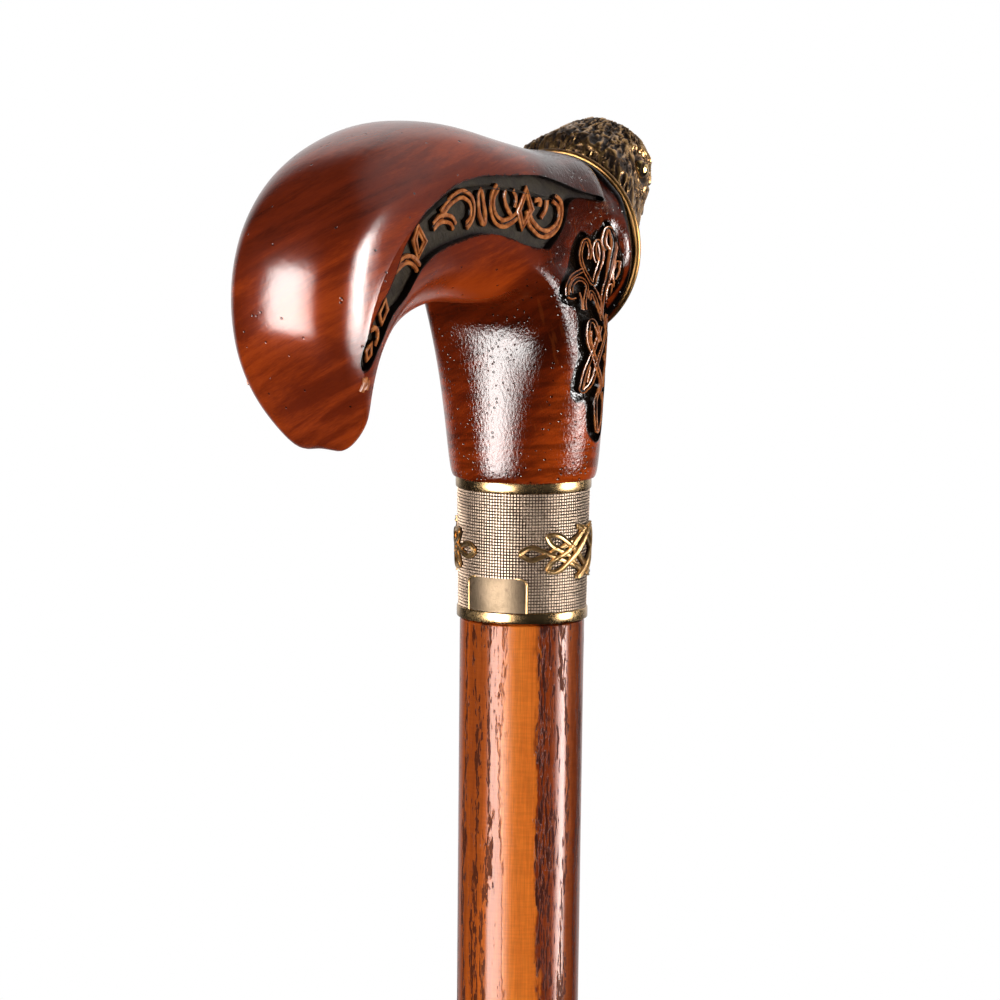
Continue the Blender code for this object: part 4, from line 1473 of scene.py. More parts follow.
@dataclass
class Carving:
    """The raised strands of the band and the neck, the same on both flanks."""

    effects: Effects
    grip: Grip
    band_double: tuple[Strand, ...] = (
        Strand(((-25.2, 52.2), (-22.9, 48.8), (-25.4, 46), (-27.4, 48.8)), True, True),
        Strand(((-35.2, 53.2), (-36.6, 51.6), (-36.5, 49.7), (-35.2, 48), (-33.4, 47.1), (-31.6, 46.8), (-29.6, 47.2), (-27.8, 47.9))),
        Strand(((-54, 49.5), (-52.1, 51), (-49.8, 52), (-47.4, 52.5), (-45.6, 52.1), (-43.9, 51.1), (-43.2, 49.6), (-43.5, 48.1), (-44.8, 47.1))),
        Strand(((-56.7, 47.6), (-54.9, 48.5), (-52.4, 48.7), (-50.2, 48.2), (-49, 47.2))),
        Strand(((-62.1, 47.7), (-59.2, 45.3), (-61.2, 43.1), (-63, 45.8)), True, True),
        Strand(((-68.8, 41.3), (-66.9, 42.3), (-64.2, 42.7), (-61.4, 41.7), (-60.4, 41))),
        Strand(((-15.7, 50.4), (-13.1, 48.8), (-12.8, 46.2), (-14.9, 44.6), (-18, 44.4), (-21.1, 45.6), (-23.3, 47.2), (-24, 48.8))),
    )  # fmt: skip
    band_single: tuple[Strand, ...] = (
        Strand(((-32.5, 52.6), (-32.6, 51.2), (-31.6, 49.7), (-29.7, 48.1))),
        Strand(((-30, 52.4), (-28.6, 50.7), (-28.9, 49.4))),
        Strand(((-41.2, 52.9), (-41.3, 50.5), (-40, 48.1), (-38.5, 47.1), (-38.4, 48), (-39.6, 50.7), (-40.6, 52.6)), True),
        Strand(((-22.2, 50.3), (-20.1, 50), (-20.2, 49.1))),
        Strand(((-17.8, 50.1), (-17.8, 48.7), (-19.2, 47.1))),
        Strand(((-71.2, 36.6), (-70.0, 34.9), (-71.5, 32.7), (-72.8, 34.5)), True, True),
        Strand(((-75.2, 31.9), (-73.7, 32.2), (-72.4, 30.9), (-72.9, 29.2))),
        Strand(((-75.8, 28.7), (-74.4, 29.8), (-74.0, 27.9), (-75.2, 27.1)), True, True),
        Strand(((-75.9, 24.5), (-75.7, 23.4), (-76, 22.2)), pointed=True, lift=0.75),
        Strand(((-75.3, 24.1), (-75.1, 23.3), (-75.4, 22.5)), pointed=True, lift=0.85),
    )  # fmt: skip
    neck_double: tuple[Strand, ...] = (
        Strand(((-0.9, 39.1), (-0.6, 40.2), (-1.1, 41.4), (-2.6, 42.5), (-3.9, 41), (-3.9, 39.5), (-3, 37.9), (-1.6, 36.2), (-0.1, 34.9), (0.7, 35.8), (2.1, 38.1), (2.5, 39.8), (2.2, 41.1), (1.4, 42.1), (0.7, 41.3), (0.7, 40.3), (1, 39.4), (1.6, 38.5))),
        Strand(((3.6, 40.5), (2.9, 41.7), (3, 43.1), (3.9, 44.3), (4.7, 43), (4.8, 41.5), (4.5, 40), (4.2, 38.4), (3.9, 36.8), (3.4, 35.1), (2.5, 33.6), (1.6, 31.9), (0.7, 30.2), (0.3, 28.5)), lift=0.05),
        Strand(((-11.2, 33.6), (-10.9, 35.1), (-9.3, 36.2), (-7, 36.9), (-4.8, 37.2), (-3.3, 37.4)), lift=0.1),
        Strand(((-9.7, 33.9), (-9.2, 35), (-7.4, 35.8), (-5.3, 36), (-3.4, 35.5), (-2.8, 34.5), (-3.9, 33.6), (-4.9, 32.7), (-5.4, 31.7), (-5.4, 30.7))),
        Strand(((-3.4, 32.4), (-1.9, 33.5), (-1.2, 32.6), (-0.8, 31.2), (-0.2, 30), (0.3, 28.5)), lift=0.1),
        Strand(((-0.7, 24.8), (-1.3, 26.4), (-2, 27.6), (-3.1, 28.6), (-4, 28.6), (-4.6, 27.5), (-4.6, 26.1), (-4, 24.5), (-2.7, 22.6), (-1.5, 20.6), (-0.1, 18.8), (0.7, 16.9), (0.3, 15.7)), lift=0.12),
        Strand(((-0.1, 27.5), (-0.9, 26.2), (-1.8, 24.7), (-2.9, 23), (-4, 21.2), (-4.7, 19.5), (-5, 17.7), (-4.7, 16.4), (-3.8, 16.8), (-2.8, 17.6), (-2, 18.8), (-1.5, 20.3), (-0.7, 22), (0.4, 23.6), (1.6, 25.2), (2.6, 26.8), (3.2, 28.6))),
        Strand(((2.5, 29.4), (1.8, 28.2), (2.6, 26.4), (4, 24.6), (4.1, 22.4), (2.6, 20.4), (1.8, 18.6), (2.2, 16.6)), lift=0.1),
        Strand(((1.6, 22.4), (3.6, 20.4), (3.6, 17.9), (2.4, 16.9), (0.8, 18.2))),
        Strand(((0.4, 16.4), (-0.7, 14.9), (-0.5, 12.8), (0.3, 10.6), (1.6, 8.9), (2.9, 9.6), (3.4, 11.6), (3.2, 13.8), (1.9, 15.6)), lift=0.06),
    )  # fmt: skip
    neck_single: tuple[Strand, ...] = (
        Strand(((6.4, 33.8), (5.2, 34.7), (4.5, 36.1), (4.7, 37.5), (5.2, 38.5), (5.6, 37.5), (5.8, 36.2), (5.6, 35.2))),
        Strand(((3.1, 31.8), (3.4, 33.5), (4.2, 34.5), (5.2, 33.4), (6.2, 32.2))),
        Strand(((-0.2, 34.6), (0.7, 33), (1.1, 31.2), (0.6, 29.6))),
        Strand(((-10.9, 33.2), (-9.6, 32.8), (-8.3, 32.9))),
        Strand(((-6.6, 33.8), (-6.2, 32.2), (-6.3, 30.8))),
        Strand(((-3.4, 26.9), (-3.5, 25.4), (-2.6, 23.6))),
        Strand(((-3.3, 20.6), (-3.6, 18.6), (-3.7, 17.9))),
    )  # fmt: skip
    neck_stretch: float = 1.6

    def build(self, blank: bpy.types.Object) -> None:
        """Lays the strands on both flanks.

        Args:
            blank: the grip before carving.
        """
        wood = RubbedStrand("rubbed_strand", self.effects).make()
        thin = RubbedStrand("thin_rubbed_strand", self.effects, low=0.78, high=0.98).make()
        flank = Flank(blank, self.grip.foot - 0.3 * MM)
        for name, strands, profile, depth, stretch, finish in (
            ("band_strands", self.band_double, DOUBLE_LINE, self.grip.band_depth, 1.0, wood),
            ("band_lines", self.band_single, SINGLE_LINE, self.grip.band_depth, 1.0, wood),
            ("neck_strands", self.neck_double, FINE_LINE, self.grip.neck_depth, self.neck_stretch, thin),
            ("neck_lines", self.neck_single, THIN_LINE, self.grip.neck_depth, self.neck_stretch, thin),
        ):
            narrow = [
                replace(strand, points=tuple((x / stretch, up) for x, up in strand.points))
                for strand in strands
            ]
            right = flank.lay(sweep_strands(f"{name}_right", narrow, profile), depth, stretch)
            smooth(right, 50.0)
            finish_piece(right, finish, "handle_wood", "handle")
            left = mirrored(right, f"{name}_left")
            finish_piece(left, finish, "handle_wood", "handle")


# ---------------------------------------------------------------- ring and raven head


@dataclass
class SeatRing:
    """The thin brass ring between the wooden seat and the cast head."""

    effects: Effects
    centre: float = 890.3 * MM
    back: float = 9.75 * MM
    thickness: float = 1.3 * MM
    radius: float = 17.15 * MM
    bore: float = 13.1 * MM
    steps: int = 128

    def build(self) -> None:
        """Models and dresses the ring."""
        half = self.thickness / 2
        crown = []
        for i in range(9):
            turn = math.radians(-90 + 180 * i / 8)
            crown.append(
                (self.radius - half + half * math.cos(turn), self.back + half + half * math.sin(turn))
            )
        profile = [(self.bore, self.back), *crown, (self.bore, self.back + self.thickness)]
        ring = turn_profile(
            "seat_ring", profile, self.steps, True, Vector((1.0, 0.0, 0.0)), Vector((0.0, 0.0, self.centre))
        )
        smooth(ring, 40.0)
        brass = PolishedBrass("ring_brass_finish", self.effects, bright=srgb(160, 118, 70), roughness=0.36).make()
        finish_piece(ring, brass, "ring_brass", "neck_ring")


@dataclass(frozen=True)
class HeadSection:
    """One cross-section of the head: crown and throat as shares of its length and rise."""

    crown: Pair
    throat: Pair
    width: float


@dataclass
class RavenHead:
    """The cast raven head: skull and hooked beak, curled hackles, brow, gape and set eyes."""

    effects: Effects
    back: float = 11.2 * MM
    centre: float = 890.3 * MM
    length: float = 35.0 * MM
    rise: float = 22.8 * MM
    half_width: float = 10.8 * MM
    base_radius: float = 15.9 * MM
    base_edge: float = 0.8 * MM
    eye_place: Vector = field(default_factory=lambda: Vector((11.9, 11.3, 13.3)) * MM)
    eye_radius: float = 1.7 * MM
    core: Vector = field(default_factory=lambda: Vector((13.0, 0.0, 9.0)) * MM)
    crown_way: Vector = field(default_factory=lambda: Vector((0.62, 0.0, 0.78)).normalized())
    crown_radius: float = 13.0 * MM
    hackle_width: float = 0.95 * MM
    hackle_length: float = 3.3 * MM
    hackle_reach: float = 24.0 * MM
    hackle_height: float = 0.6 * MM
    sections: tuple[HeadSection, ...] = (
        HeadSection((0.09, 0.85), (0.12, -0.57), 1.33),
        HeadSection((0.26, 0.925), (0.31, -0.25), 1.09),
        HeadSection((0.44, 0.965), (0.46, 0.02), 0.96),
        HeadSection((0.60, 0.87), (0.57, 0.13), 0.77),
        HeadSection((0.68, 0.71), (0.64, 0.175), 0.48),
        HeadSection((0.85, 0.59), (0.79, 0.20), 0.27),
        HeadSection((0.975, 0.29), (0.935, 0.16), 0.07),
    )
    outline: tuple[Pair, ...] = ((0.0, 1.0), (0.70, 0.875), (0.96, 0.62), (0.94, 0.35), (0.58, 0.08), (0.0, 0.0))

    def _rows(self) -> list[list[Vector]]:
        """Half rings of the head from its base to the tip of the beak."""
        whole = list(self.outline) + [(-s, up) for s, up in reversed(self.outline[1:-1])]
        fine = even_curve(whole, True, 2)[: 2 * (len(self.outline) - 1) + 1]
        origin = Vector((self.back, 0.0, self.centre))
        rows = []
        for along in (0.0, self.base_edge):
            turns = [math.pi * i / (len(fine) - 1) for i in range(len(fine))]
            rows.append(
                [
                    origin + Vector((along, -self.base_radius * math.sin(t), self.base_radius * math.cos(t)))
                    for t in turns
                ]
            )
        for section in self.sections:
            crown = Vector((section.crown[0] * self.length, 0.0, section.crown[1] * self.rise))
            throat = Vector((section.throat[0] * self.length, 0.0, section.throat[1] * self.rise))
            width = section.width * self.half_width
            rows.append(
                [origin + throat + (crown - throat) * up + Vector((0.0, -side * width, 0.0)) for side, up in fine]
            )
        # a row more between each two of the skull, so that the hackles come out sharp
        for i in range(5, 1, -1):
            before, here, after, beyond = rows[i - 1 : i + 3]
            rows.insert(
                i + 1, [(9 * (q + r) - p - s) / 16 for p, q, r, s in zip(before, here, after, beyond)]
            )
        for row in rows:
            row[0].y = row[-1].y = 0.0
        return rows

    def _skull(self) -> bpy.types.Object:
        """The smooth head, closed and rounded by subdivision."""
        rows = self._rows()
        skull = lay_grid("raven_head_cast", rows)
        for ring in (rows[0], rows[-1]):
            with Editing(skull, Pick.VERTS) as edit:
                edit.pick(lambda at, _, ring=ring: any((at - p).length < MERGE for p in ring))
                bpy.ops.mesh.edge_face_add()
        edge = rows[0]
        middles = [(a + b) / 2 for a, b in zip(edge, edge[1:])]
        with Editing(skull, Pick.EDGES) as edit:
            edit.pick(lambda at, _: any((at - m).length < 10 * MERGE for m in middles))
            bpy.ops.transform.edge_crease(value=1.0)
        add_modifier(skull, "MIRROR", use_axis=(False, True, False), merge_threshold=0.005 * MM)
        add_modifier(skull, "SUBSURF", levels=4, render_levels=4)
        settle(skull)
        apply_modifiers(skull)
        return clean(skull)

    def _hackles(self, local: np.ndarray) -> np.ndarray:
        """Height of the hackles: wavy curls that run outwards from the crown and join here and there.

        Args:
            local: the vertices of the head from the middle of its base.

        Returns:
            Heights from 0 to 1.
        """
        crown, side = np.array(self.crown_way), np.array((0.0, 1.0, 0.0))
        from_core = local - np.array(self.core)
        away = np.arccos(np.clip(from_core @ crown / np.linalg.norm(from_core, axis=1), -1.0, 1.0))
        around = np.arctan2(from_core @ side, from_core @ np.cross(crown, side))
        cells = self.crown_radius / self.hackle_width
        outs = away * self.crown_radius / self.hackle_length
        heights = []
        for turn, out in zip(around, outs):
            place = Vector((cells * math.cos(turn), cells * math.sin(turn), out))
            place += 0.35 * noise.noise_vector(0.6 * place)
            line = 1.0 - min(1.0, abs(noise.noise(place)) / 0.3)
            thin = 1.0 - min(1.0, abs(noise.noise(place * 1.3 + Vector((9.0, 4.0, 2.0)))) / 0.24)
            heights.append(max(line, 0.85 * thin) * (0.92 + 0.4 * noise.noise(0.45 * place)))
        return np.clip(np.array(heights), 0.0, 1.0) ** 0.8

    def _cast_relief(self, skull: bpy.types.Object) -> None:
        """Raises hackles, brow and lids and sinks sockets and gape in the surface."""
        places, normals = places_of(skull), normals_of(skull)
        local = places - np.array((self.back, 0.0, self.centre))
        along, side, up = local.T
        stations = [0.0] + [(s.crown[0] + s.throat[0]) / 2 * self.length for s in self.sections]
        middles = [0.0] + [(s.crown[1] + s.throat[1]) / 2 * self.rise for s in self.sections]
        turn = np.arctan2(side, up - np.interp(along, stations, middles))
        eye = np.array(self.eye_place)
        from_eye = np.sqrt((along - eye[0]) ** 2 + (np.abs(side) - eye[1]) ** 2 + (up - eye[2]) ** 2)

        def rising(value: np.ndarray, low: float, high: float) -> np.ndarray:
            """A share that eases from 0 to 1 between two values."""
            share = np.clip((value - low) / (high - low), 0.0, 1.0)
            return share * share * (3 - 2 * share)

        reach = self.hackle_reach - 5.0 * MM * rising(-up, -12 * MM, -6 * MM)
        cover = rising(along, self.base_edge, self.base_edge + 0.6 * MM)
        cover *= 1.0 - rising(along - reach, -3.5 * MM, 0.0)
        cover *= rising(from_eye, 2.6 * MM, 3.4 * MM)
        hackles = self._hackles(local)
        lift = self.hackle_height * cover * (hackles - 0.45)
        # lids, sockets and the brow over them
        lift += 0.36 * MM * np.exp(-(((from_eye - 2.9 * MM) / (0.45 * MM)) ** 2))
        lift -= 0.9 * MM * np.exp(-((from_eye / (2.0 * MM)) ** 4))
        slope = up - (17.2 * MM - 0.32 * (along - 12.0 * MM))
        brow = np.exp(-((slope / (0.8 * MM)) ** 2)) * rising(along, 10 * MM, 13 * MM)
        brow *= (1.0 - rising(along, 20 * MM, 23 * MM)) * rising(np.abs(side), 3.5 * MM, 6 * MM)
        lift += 0.5 * MM * brow
        # the gape, and the nostril bristles over the root of the beak
        mouth = up - (8.2 * MM + (27.3 * MM - along) * math.tan(math.radians(11.0)))
        lips = rising(along, 15 * MM, 18 * MM) * (1.0 - rising(along, 32 * MM, 34 * MM))
        groove = np.exp(-((mouth / (0.32 * MM)) ** 2)) * lips * rising(np.abs(side), 0.6 * MM, 1.4 * MM)
        lift -= 0.5 * MM * groove
        bristle = rising(along, 19 * MM, 21 * MM) * (1.0 - rising(along, 24.5 * MM, 27 * MM)) * rising(mouth, 0.8 * MM, 2 * MM)
        strands = np.abs(np.sin(9.0 * turn + 2200.0 * along)) ** 1.5
        lift += 0.22 * MM * bristle * (strands - 0.3)
        place_all(skull, places + normals * lift[:, None])
        bare = 0.62 + 0.1 * np.sin(along * 900.0)
        relief = cover * hackles + (1.0 - cover) * bare
        relief = relief + 0.4 * brow - 0.75 * groove - 0.9 * np.exp(-((from_eye / (2.3 * MM)) ** 4))
        relief = relief * (1.0 - bristle) + bristle * (0.15 + 0.75 * strands)
        write_relief(skull, relief)

    def _eye(self) -> bpy.types.Object:
        """The right eye: a domed bead with a sunk ring round its pupil."""
        deselect_all()
        place = Vector((self.back + self.eye_place.x, -self.eye_place.y + 0.95 * MM, self.centre + self.eye_place.z))
        bpy.ops.mesh.primitive_uv_sphere_add(
            segments=32, ring_count=20, radius=self.eye_radius, location=place, rotation=(math.pi / 2, 0.0, 0.0)
        )
        eye = named("eye_right")
        bpy.ops.object.transform_apply(location=True, rotation=True, scale=True)
        outward = Vector((0.0, -1.0, 0.0))
        with Editing(eye) as edit:
            edit.pick(lambda at, _: 0.55 < (at - place).normalized().dot(outward) < 0.78)
            bpy.ops.mesh.inset(thickness=0.06 * MM, depth=-0.12 * MM)
        clean(eye)
        heights = (places_of(eye) - np.array(place)) @ np.array(outward) / self.eye_radius
        write_relief(eye, np.where((heights > 0.5) & (heights < 0.74), 0.15, 0.35 + 0.65 * heights))
        return smooth(eye, 40.0)

    def build(self) -> None:
        """Models and dresses the head and its eyes."""
        bronze = AgedBronze(
            "head_cast_bronze", self.effects, flank=srgb(108, 82, 58), bright=srgb(204, 160, 106), low=0.25, high=0.95, rough_ground=0.5, rough_top=0.28
        ).make()
        skull = self._skull()
        self._cast_relief(skull)
        smooth(skull, 75.0)
        finish_piece(skull, bronze, "head_bronze", "raven_head")
        gold = AgedBronze(
            "eye_bronze", self.effects, bright=srgb(236, 200, 130), low=0.1, high=0.7, rough_top=0.14
        ).make()
        eye = finish_piece(self._eye(), gold, "head_bronze", "raven_head")
        finish_piece(mirrored(eye, "eye_left"), gold, "head_bronze", "raven_head")


# ---------------------------------------------------------------- collar


@dataclass
class Collar:
    """The cast collar: a checked band between polished rims, two knots and a bare plate."""

    effects: Effects
    top: float = 850.4 * MM
    height: float = 25.0 * MM
    rim: float = 2.0 * MM
    top_radius: float = 12.0 * MM
    foot_radius: float = 11.55 * MM
    bore: float = 9.8 * MM
    band_depth: float = 0.4 * MM
    checks_round: int = 132
    checks_high: int = 39
    check_gap: float = 0.12 * MM
    check_rise: float = 0.17 * MM
    knot_turns: Pair = (-85.7, 94.3)
    plate_turns: Pair = (153.3, 211.7)
    plate_top: float = -4.5 * MM
    ribbons: tuple[Strand, ...] = (
        Strand(((-14.3, 0), (-12.3, -1.1), (-10.7, -0.7), (-8.3, 0.35), (-5.5, 1.4), (-2.1, 2.9), (0.5, 4.0), (2.9, 4.4))),
        Strand(((-9.4, 3.1), (-7.4, 3.2), (-5.4, 2.0), (-3.5, 0.5), (-1.5, -1.3), (0.6, -3.2), (2.6, -4.5)), lift=0.14),
        Strand(((-9.4, 3.1), (-8.6, 1.7), (-7.0, 0.7), (-5.0, -0.3), (-3.0, -2.2), (-0.6, -4.2)), lift=0.07),
    )  # fmt: skip

    def _radius(self, z: float) -> float:
        """Outer radius of the rims at a height."""
        share = (z - self.top + self.height) / self.height
        return self.foot_radius + (self.top_radius - self.foot_radius) * share

    def _ground(self, z: float) -> float:
        """Radius of the band's ground at a height."""
        return self._radius(z) - self.band_depth

    def _band(self) -> bpy.types.Object:
        """The checked band with its bore."""
        low, high = self.top - self.height + self.rim, self.top - self.rim
        deselect_all()
        bpy.ops.mesh.primitive_cone_add(
            vertices=self.checks_round,
            radius1=self._ground(low),
            radius2=self._ground(high),
            depth=high - low,
            end_fill_type="NOTHING",
            location=(0.0, 0.0, (low + high) / 2),
        )
        band = named("collar_band")
        bpy.ops.object.transform_apply(location=True, rotation=True, scale=True)
        with Editing(band, Pick.EDGES) as edit:
            edit.pick(lambda _, way: abs(way.z) > 0.9)
            bpy.ops.mesh.subdivide(number_cuts=self.checks_high - 1)
        with Editing(band) as edit:
            edit.pick_all()
            bpy.ops.mesh.inset(thickness=self.check_gap, depth=self.check_rise, use_individual=True)
        for edge in (low, high):
            with Editing(band, Pick.EDGES) as edit:
                edit.pick(lambda at, way, edge=edge: abs(at.z - edge) < 0.01 * MM and abs(way.z) < 0.1)
                bpy.ops.mesh.extrude_edges_move()
                share = self.bore / self._ground(edge)
                bpy.ops.transform.resize(value=(share, share, 1.0), center_override=(0.0, 0.0, edge))
        with Editing(band, Pick.EDGES) as edit:
            inner = 0.5 * (self.bore + self._ground(low))
            edit.pick(lambda at, way: at.xy.length < inner and abs(way.z) < 0.1 and abs(way.xy.dot(at.xy)) < 0.5 * at.xy.length)
            bpy.ops.mesh.bridge_edge_loops()
        clean(band)
        places = places_of(band)
        radial = np.hypot(places[:, 0], places[:, 1])
        ground = np.array([self._ground(z) for z in places[:, 2]])
        write_relief(band, (radial - ground) / self.check_rise)
        return smooth(band, 25.0)

    def _rim(self, name: str, low: float, high: float) -> bpy.types.Object:
        """A polished rim with a slightly crowned face and broken edges."""
        outer, ease = self._radius((low + high) / 2), 0.18 * MM
        profile = [
            (self.bore, low),
            (outer - 2 * ease, low),
            (outer - 0.4 * ease, low + 0.4 * ease),
            (outer, low + ease),
            (outer + 0.02 * MM, (low + high) / 2),
            (outer, high - ease),
            (outer - 0.4 * ease, high - 0.4 * ease),
            (outer - 2 * ease, high),
            (self.bore, high),
        ]
        return smooth(turn_profile(name, profile, 144), 50.0)

    def _wrap(self, obj: bpy.types.Object, turn: float, proud: float) -> bpy.types.Object:
        """Wraps a flat piece round the band.

        Args:
            obj: the piece, X round the band, Y up from its middle and Z outwards.
            turn: direction of its middle in degrees.
            proud: how far its zero height stands off the ground.

        Returns:
            The wrapped piece.
        """
        middle = self.top - self.height / 2
        arc_radius = self._radius(middle)
        flat = places_of(obj)
        angle = math.radians(turn) + flat[:, 0] / arc_radius
        z = middle + flat[:, 1]
        radial = np.array([self._ground(v) for v in z]) + proud + flat[:, 2]
        place_all(obj, np.column_stack((radial * np.cos(angle), radial * np.sin(angle), z)))
        return clean(obj)

    def _knot(self, name: str, turn: float) -> bpy.types.Object:
        """An interlaced knot of ribbons, four times mirrored, wrapped round the band."""
        strands = []
        for ribbon in self.ribbons:
            for s, u in ((1, 1), (1, -1), (-1, 1), (-1, -1)):
                points = tuple((s * along, u * up) for along, up in ribbon.points)
                over = ribbon.lift + (0.08 if s * u < 0 else 0.0)
                strands.append(Strand(points, ribbon.closed, ribbon.pointed, over))
        return smooth(self._wrap(sweep_strands(name, strands, RIBBON), turn, 0.14 * MM), 50.0)

    def _plate(self) -> tuple[bpy.types.Object, bpy.types.Object]:
        """The bare plate and the raised line round it."""
        middle = self._radius(self.top - self.height / 2)
        half = math.radians(self.plate_turns[1] - self.plate_turns[0]) / 2 * middle
        foot = -self.height / 2 + self.rim
        corner = 1.3 * MM
        columns, rows_up = 36, 10

        def top_at(s: float) -> float:
            """Height of the plate's top edge, which falls away at its round corners."""
            past = max(0.0, abs(s) - (half - corner))
            return self.plate_top - corner + math.sqrt(max(0.0, corner**2 - past**2))

        rows = []
        for j in range(rows_up + 1):
            row = []
            for i in range(columns + 1):
                s = -half + 2 * half * i / columns
                row.append(Vector((s, foot + (top_at(s) - foot) * j / rows_up, 0.0)))
            rows.append(row)
        plate = lay_grid("collar_plate", rows)
        with Editing(plate) as edit:
            edit.pick_all()
            bpy.ops.mesh.extrude_region_move(TRANSFORM_OT_translate={"value": (0.0, 0.0, -0.2 * MM)})
        clean(plate)
        write_relief(plate, np.full(len(plate.data.vertices), 0.72))
        turn = sum(self.plate_turns) / 2
        smooth(self._wrap(plate, turn, 0.17 * MM), 40.0)
        line = [(-half / MM, foot / MM), (-half / MM, (self.plate_top - corner) / MM - 0.3)]
        for i in range(9):
            a = math.radians(180 - 90 * i / 8)
            line.append(((-half + corner + corner * math.cos(a)) / MM, (self.plate_top - corner + corner * math.sin(a)) / MM))
        whole = line + [(-s, up) for s, up in reversed(line)]
        edge = sweep_strands("collar_plate_edge", [Strand(tuple(whole), pointed=True)], EDGE_LINE)
        return plate, smooth(self._wrap(edge, turn, 0.17 * MM), 50.0)

    def build(self) -> None:
        """Models and dresses the collar."""
        low, high = self.top - self.height, self.top
        checked = AgedBronze(
            "collar_checked_bronze",
            self.effects,
            ground=srgb(50, 37, 30),
            flank=srgb(98, 79, 66),
            bright=srgb(168, 149, 131),
            low=0.2,
            high=1.0,
            rough_ground=0.6,
            rough_top=0.52,
        ).make()
        raised = AgedBronze(
            "collar_ornament_bronze", self.effects, bright=srgb(188, 152, 104), low=0.3, high=0.85, rough_top=0.3
        ).make()
        smooth_plate = AgedBronze(
            "collar_plate_bronze", self.effects, flank=srgb(76, 64, 50), bright=srgb(98, 84, 68), low=0.3, high=0.85, rough_top=0.46
        ).make()
        brass = PolishedBrass("collar_rim_finish", self.effects).make()
        pieces = [
            (self._band(), checked),
            (self._rim("collar_rim_foot", low, low + self.rim), brass),
            (self._rim("collar_rim_top", high - self.rim, high), brass),
            (self._knot("collar_knot_right", self.knot_turns[0]), raised),
            (self._knot("collar_knot_left", self.knot_turns[1]), raised),
        ]
        plate, edge = self._plate()
        for piece, finish in [*pieces, (plate, smooth_plate), (edge, raised)]:
            finish_piece(piece, finish, "collar_bronze", "collar")


# ---------------------------------------------------------------- shaft, tip and hidden fastenings


@dataclass
class AshShaft:
    """The tapered shaft with its shoulder and the tenon inside the collar."""

    effects: Effects
    foot: float = 11.2 * MM
    shoulder: float = 825.1 * MM
    tenon_top: float = 849.7 * MM
    foot_radius: float = 9.0 * MM
    top_radius: float = 11.0 * MM
    tenon_radius: float = 9.5 * MM
    steps: int = 128

    def build(self) -> None:
        """Models and dresses the shaft."""
        ease = 0.4 * MM
        profile = [
            (0.0, self.foot),
            (self.foot_radius - 3 * ease, self.foot),
            (self.foot_radius - ease, self.foot + 0.4 * ease),
            (self.foot_radius, self.foot + 2 * ease),
            (self.top_radius, self.shoulder - ease),
            (self.top_radius - 0.3 * ease, self.shoulder - 0.3 * ease),
            (self.top_radius - ease, self.shoulder),
            (self.tenon_radius, self.shoulder),
            (self.tenon_radius, self.tenon_top - ease),
            (self.tenon_radius - ease, self.tenon_top),
            (0.0, self.tenon_top),
        ]
        shaft = smooth(turn_profile("ash_shaft", profile, self.steps, closed=False), 40.0)
        wood = AshWood("stained_ash", self.effects).make()
        finish_piece(shaft, wood, "shaft_ash", "shaft")


@dataclass
class RubberTip:
    """The moulded rubber tip: a ribbed cup that flares to a ringed tread."""

    effects: Effects
    height: float = 46.0 * MM
    mouth: float = 9.39 * MM
    wall: float = 2.8 * MM
    base_radius: float = 18.0 * MM
    tread: float = 9.0 * MM
    cup_floor: float = 9.3 * MM
    rib: float = 0.9 * MM
    rib_pitch: float = 4.4 * MM
    groove: float = 1.0 * MM
    groove_radii: tuple[float, ...] = (13.0 * MM, 8.5 * MM)
    steps: int = 128

    def _profile(self) -> list[Pair]:
        """The profile from the mouth down the outside, under the tread and up the cup."""
        neck = self.mouth + self.wall
        profile = [(self.mouth, self.height)]
        for i in range(5):
            turn = math.radians(90 - 90 * i / 4)
            profile.append((neck - self.rib + self.rib * math.cos(turn), self.height - self.rib + self.rib * math.sin(turn)))
        for i in range(3):
            z = self.height - 3.0 * MM - (i + 0.5) * self.rib_pitch
            for k in range(9):
                turn = math.radians(90 - 180 * k / 8)
                profile.append((neck + self.rib * math.cos(turn), z + self.rib * math.sin(turn)))
        flare = self.tread + 14.0 * MM
        profile.append((neck, flare))
        for i in range(1, 14):
            share = i / 14
            drop = (flare - 0.45 * self.tread) * (1 - (1 - share) ** 1.6)
            profile.append((neck + (self.base_radius - neck) * share**1.7, flare - drop))
        for k in range(6):
            turn = math.radians(50 - 50 * k / 5)
            profile.append((self.base_radius - 1.2 * MM * (1 - math.cos(turn)), 1.6 * MM + 1.2 * MM * math.sin(turn)))
        profile.append((self.base_radius - 0.6 * MM, 0.0))
        for radius in self.groove_radii:
            for reach, z in ((1.0, 0.0), (0.7, self.groove), (-0.7, self.groove), (-1.0, 0.0)):
                profile.append((radius + reach * self.groove, z))
        return profile + [(0.0, 0.0)]

    def build(self) -> None:
        """Models and dresses the tip."""
        inside = [(0.0, self.tread), (self.cup_floor, self.tread)]
        profile = self._profile()
        profile = [profile[0], *profile[1:], *inside]
        tip = smooth(turn_profile("rubber_tip_moulded", profile, self.steps), 35.0)
        rubber = MouldedRubber("black_rubber_moulded", self.effects).make()
        finish_piece(tip, rubber, "tip_rubber", "rubber_tip")


